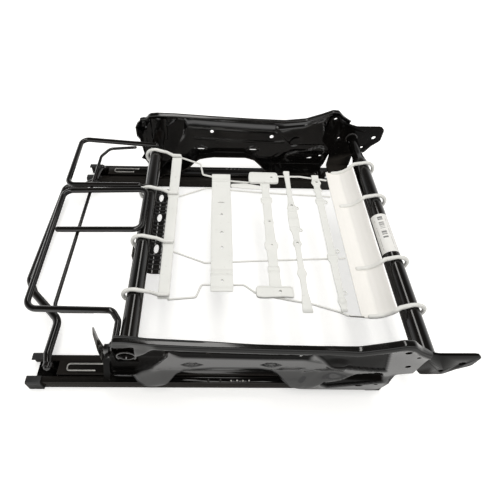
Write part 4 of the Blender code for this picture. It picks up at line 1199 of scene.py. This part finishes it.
# Moulded rings stand at the sides of the straps, where a wire was held in the
# mould; the flat tongue beside the far block is the end of the far wire's sleeve.
def side_rings(name, places):
    points = []
    faces = []
    for x, y, radius in places:
        first = len(points)
        for i in range(20):
            for j in range(10):
                a, b = math.tau * i / 20, math.tau * j / 10
                reach = radius + 1.3 * math.cos(b)
                points.append((x + reach * math.cos(a), y + reach * math.sin(a), MAT_Z + 1.2 * math.sin(b)))
        for i in range(20):
            for j in range(10):
                a = first + i * 10 + j
                b = first + i * 10 + (j + 1) % 10
                c = first + ((i + 1) % 20) * 10
                faces.append((a, b, c + (j + 1) % 10, c + j))
    obj = fixed(closed(raw(name, points, faces)), 60.0)
    return settle(obj, moulding.material, "seat_frame", "mat_plastic")


side_rings("mat_rings", [
    (112.0, 49.0, 3.4), (112.6, -60.0, 3.4), (59.0, 33.0, 3.0), (59.0, -17.0, 2.8),
    (109.0, -138.0, 3.0), (101.0, -147.0, 2.6),
])
tongue_outline = rounded_profile([
    (-56.0, 92.0), (-30.0, 94.0), (2.0, 87.0), (2.0, 79.0), (-30.0, 80.0), (-56.0, 84.0),
], 4.0)
moulded(bevel(prisms("mat_tongue", [(tongue_outline, 110.9, 113.0)], "XY"), 0.8))


# Coated wires of the mat. A white sleeve covers the steel wire, which is bare
# where the near outer wire crosses to the rear panel.
sleeve = Finish("white_sleeve", IOR=1.47)
sleeve_cloud = sleeve.speckle(18.0, 3.0)
sleeve.feed(
    Base_Color=sleeve.tint(sleeve_cloud, (0.70, 0.70, 0.67), (0.84, 0.84, 0.81)),
    Roughness=0.36 + sleeve.speckle(4.0) * 0.16,
)
sleeve.relief(sleeve.speckle(3.2, 2.0), 0.18)
GAP = 0.3
SLEEVE_R = 1.7
wire_z = MAT_UNDER - GAP - SLEEVE_R
mat_wires = {
    "mat_wire_right_outer": (
        (-152, 168), (-113, 150), (-108, 120), (-54, 103), (-24, 100), (20, 118), (76, 118), (124, 109),
    ),
    "mat_wire_right_inner": ((-152, 60), (-100, 84), (0, 74), (124, 66)),
    "mat_wire_left_inner": ((-152, -62), (-100, -84), (0, -78), (124, -72)),
    "mat_wire_left_outer": (
        (-152, -150), (-112, -146), (-104, -124), (-40, -124), (-20, -140), (60, -156), (96, -168),
        (108, -174),
    ),
}
for wire_name, corners in mat_wires.items():
    line = bend_path([(x, y, wire_z, 5.0) for x, y in corners], 6)
    coated = rod(wire_name + "_sleeve", line, SLEEVE_R, sleeve.material, 14)
    settle(coated, sleeve.material, "seat_frame", "wire_coating", wire_name)
bare_line = [Vector((x, y, wire_z)) for x, y in ((105.0, -172.6), (112.0, -175.0), (130.0, -176.0))]
bare = rod("mat_bare_wire", bare_line, 1.1, zinc.material, 12)
settle(bare, zinc.material, "seat_frame", "latch_steel")


# Hooks. Thick coated wires leave the front strip and the rear panel, and lie
# loosely over the cross tubes; their ends are rounded and slightly swollen.
FRONT_HOOK_Y = (164.0, 62.0, -48.0, -147.0)
REAR_HOOK_Y = (140.0, 53.0, -82.0, -166.0)
FRONT_HOOK_R = 3.0
REAR_HOOK_R = 3.2
PANEL_HALF = 1.2


def hook(name, y, centre, tube_r, wire_r, start, first, last, node):
    reach = tube_r + wire_r + 1.0
    path = [Vector((x, y + sideways, z)) for x, sideways, z in start]
    for angle in np.radians(np.linspace(first, last, 22)):
        path.append(Vector((centre[0] + reach * math.cos(angle), y, centre[1] + reach * math.sin(angle))))
    swell = lambda t: 1.0 + 0.05 * math.sin(t * 21.0) + (0.08 if t > 0.94 else 0.0)
    made = rod(name, path, wire_r, sleeve.material, 24, swell, 2.0)
    return settle(made, sleeve.material, "seat_frame", "wire_coating", node)


arm_z = MAT_UNDER + STRIP_THICK + GAP + FRONT_HOOK_R
front_arm = [(-153.0, 0.0, arm_z), (-166.0, 0.0, arm_z + 0.5), (-178.0, 0.0, 125.0)]
PANEL_SECTION = ((127.0, 103.5), (140.0, 101.5), (152.0, 102.5), (162.0, 106.5), (170.0, 113.5), (175.5, 121.5))
lying = thick_line(PANEL_SECTION, 2.0 * (PANEL_HALF + GAP + REAR_HOOK_R))[1:len(PANEL_SECTION)]
rear_arm = [(x, -8.0, z) for x, z in lying] + [(178.0, -5.0, 127.4)]
for end_name, places, centre, tube_r, wire_r, arm, first, last in (
    ("front", FRONT_HOOK_Y, (FRONT_TUBE[0] - 1.5, FRONT_TUBE[1]), 12.0, FRONT_HOOK_R, front_arm, 62.0, 215.0),
    ("rear", REAR_HOOK_Y, (REAR_TUBE[0] + 2.0, REAR_TUBE[1]), 14.0, REAR_HOOK_R, rear_arm, 110.0, -50.0),
):
    for i, y in enumerate(places, 1):
        hook(f"{end_name}_hook_{i}", y, centre, tube_r, wire_r, arm, first, last, f"mat_{end_name}_hook_{i}")


# Rear panel of the mat: one moulded sheet, creased along its length, with a ridge
# under each hook's arm; it is cream in front of the crease and painted greyer
# behind it, where it turns up toward the tube, as painted shade.
def panel_line():
    """The panel's section as a smooth line of evenly spaced points."""
    knots = np.array(PANEL_SECTION)
    far_along = np.concatenate([[0.0], np.cumsum(np.hypot(*np.diff(knots, axis=0).T))])
    where = np.linspace(0.0, far_along[-1], 44)
    xs = along(list(zip(far_along, knots[:, 0])), where, 1.2)
    zs = along(list(zip(far_along, knots[:, 1])), where, 1.2)
    return xs, zs


panel_x, panel_z = panel_line()
panel_rows = np.linspace(-176.0, 134.0, 200)
panel_points = []
for y in panel_rows:
    lift = np.zeros_like(panel_x)
    for hook_y in REAR_HOOK_Y:
        for gap in (-2.4, 2.4):
            lift = lift + 0.8 * hill((y - hook_y + 8.0 + gap) / 0.9)
    lift = lift + 0.9 * hill((panel_x - 128.5) / 1.6) + 0.5 * hill((panel_x - 152.5) / 0.9)
    wave = 0.9 * math.sin(y / 17.0) + 0.6 * math.sin(y / 7.3)
    edge = wave * ease((panel_x - 160.0) / 14.0)
    for x, z, rise, warp in zip(panel_x, panel_z, lift, edge):
        panel_points.append((x + 0.35 * warp, y, z + PANEL_HALF + rise))
panel = raw("mat_panel", panel_points, grid_faces(len(panel_x), len(panel_rows), True))
thickened(panel, 2.0 * PANEL_HALF)
bevel(panel, 0.7, 2, 60.0)
fixed(panel, 50.0)
panel_finish = Finish("cream_moulding", IOR=1.46)
panel_spot = panel_finish.part(panel_finish.place, "X") + panel_finish.speckle(30.0) * 0.004 - 0.002
crease_at = (152.0 - BOX_MIDDLE_X) / 1000.0
# Painted shade: behind the crease, where the sheet turns up toward the tube, the panel is painted greyer.
shade_behind_crease = panel_finish.between(panel_spot, crease_at - 0.002, crease_at + 0.003)
panel_tone = panel_finish.tint(shade_behind_crease, (0.93, 0.91, 0.87), (0.80, 0.785, 0.755))
panel_finish.feed(
    Base_Color=panel_finish.tint(panel_finish.speckle(22.0) * 0.3, panel_tone, (0.80, 0.79, 0.76)),
    Roughness=0.42 + panel_finish.speckle(6.0) * 0.14,
)
panel_finish.relief(panel_finish.speckle(7.0) + panel_finish.speckle(1.8) * 0.3, 0.14)
settle(panel, panel_finish.material, "seat_frame", "panel_plastic", "mat_rear_panel")


# Paper label round the upper front of the rear tube. Its print is reduced to
# plain grey bars and a thin border line, with nothing to read.
LABEL_Y = (-67.0, 13.0)
LABEL_TURN = (math.radians(46.0), math.radians(176.0))
LABEL_RADIUS = 14.22
LABEL_STEPS = 40
label_points = []
for y in np.linspace(*LABEL_Y, LABEL_STEPS):
    for turn in np.linspace(*LABEL_TURN, LABEL_STEPS):
        x, z = LABEL_RADIUS * math.cos(turn), LABEL_RADIUS * math.sin(turn)
        label_points.append((REAR_TUBE[0] + x, y, REAR_TUBE[1] + z))
label = raw("tube_label", label_points, grid_faces(LABEL_STEPS, LABEL_STEPS))
paper_uv = label.data.uv_layers.new(name="paper")
for corner, loop in enumerate(label.data.loops):
    across, around = divmod(loop.vertex_index, LABEL_STEPS)
    paper_uv.data[corner].uv = (across / (LABEL_STEPS - 1), around / (LABEL_STEPS - 1))
thickened(label, 0.12, 1.0)
fixed(label, 60.0)
paper = Finish("label_paper", Specular_IOR_Level=0.35)
sheet_place = paper.node("ShaderNodeUVMap", {"uv_map": "paper"})
run, span = paper.part(sheet_place, "X"), paper.part(sheet_place, "Y")


def window(value, low, high):
    return paper.between(value, low, low + 0.01) * (1.0 - paper.between(value, high - 0.01, high))


def steps(count):
    """A random value for each of the given number of steps along the label."""
    step = paper.node("ShaderNodeMath", {"operation": "FLOOR"}, {0: run * count})
    return paper.node("ShaderNodeTexWhiteNoise", {"noise_dimensions": "1D"}, {"W": step})


bars = paper.between(steps(96.0), 0.30, 0.34) * window(span, 0.36, 0.62)
fields = window(run, 0.34, 0.56) + window(run, 0.60, 0.78) + window(run, 0.82, 0.93)
margins = (window(span, 0.78, 0.82) + window(span, 0.20, 0.24)) * paper.between(steps(30.0), 0.35, 0.4)
ink = bars * fields * 0.9 + margins * 0.45 * window(run, 0.06, 0.94)
paper_tone = paper.tint(paper.speckle(12.0), (0.86, 0.86, 0.84), (0.78, 0.77, 0.74))
paper.feed(Base_Color=paper.tint(ink, paper_tone, (0.16, 0.16, 0.16)), Roughness=0.5 + paper.speckle(3.0) * 0.2)
paper.relief(paper.speckle(2.0), 0.04)
settle(label, paper.material, "seat_frame", "mat_plastic")
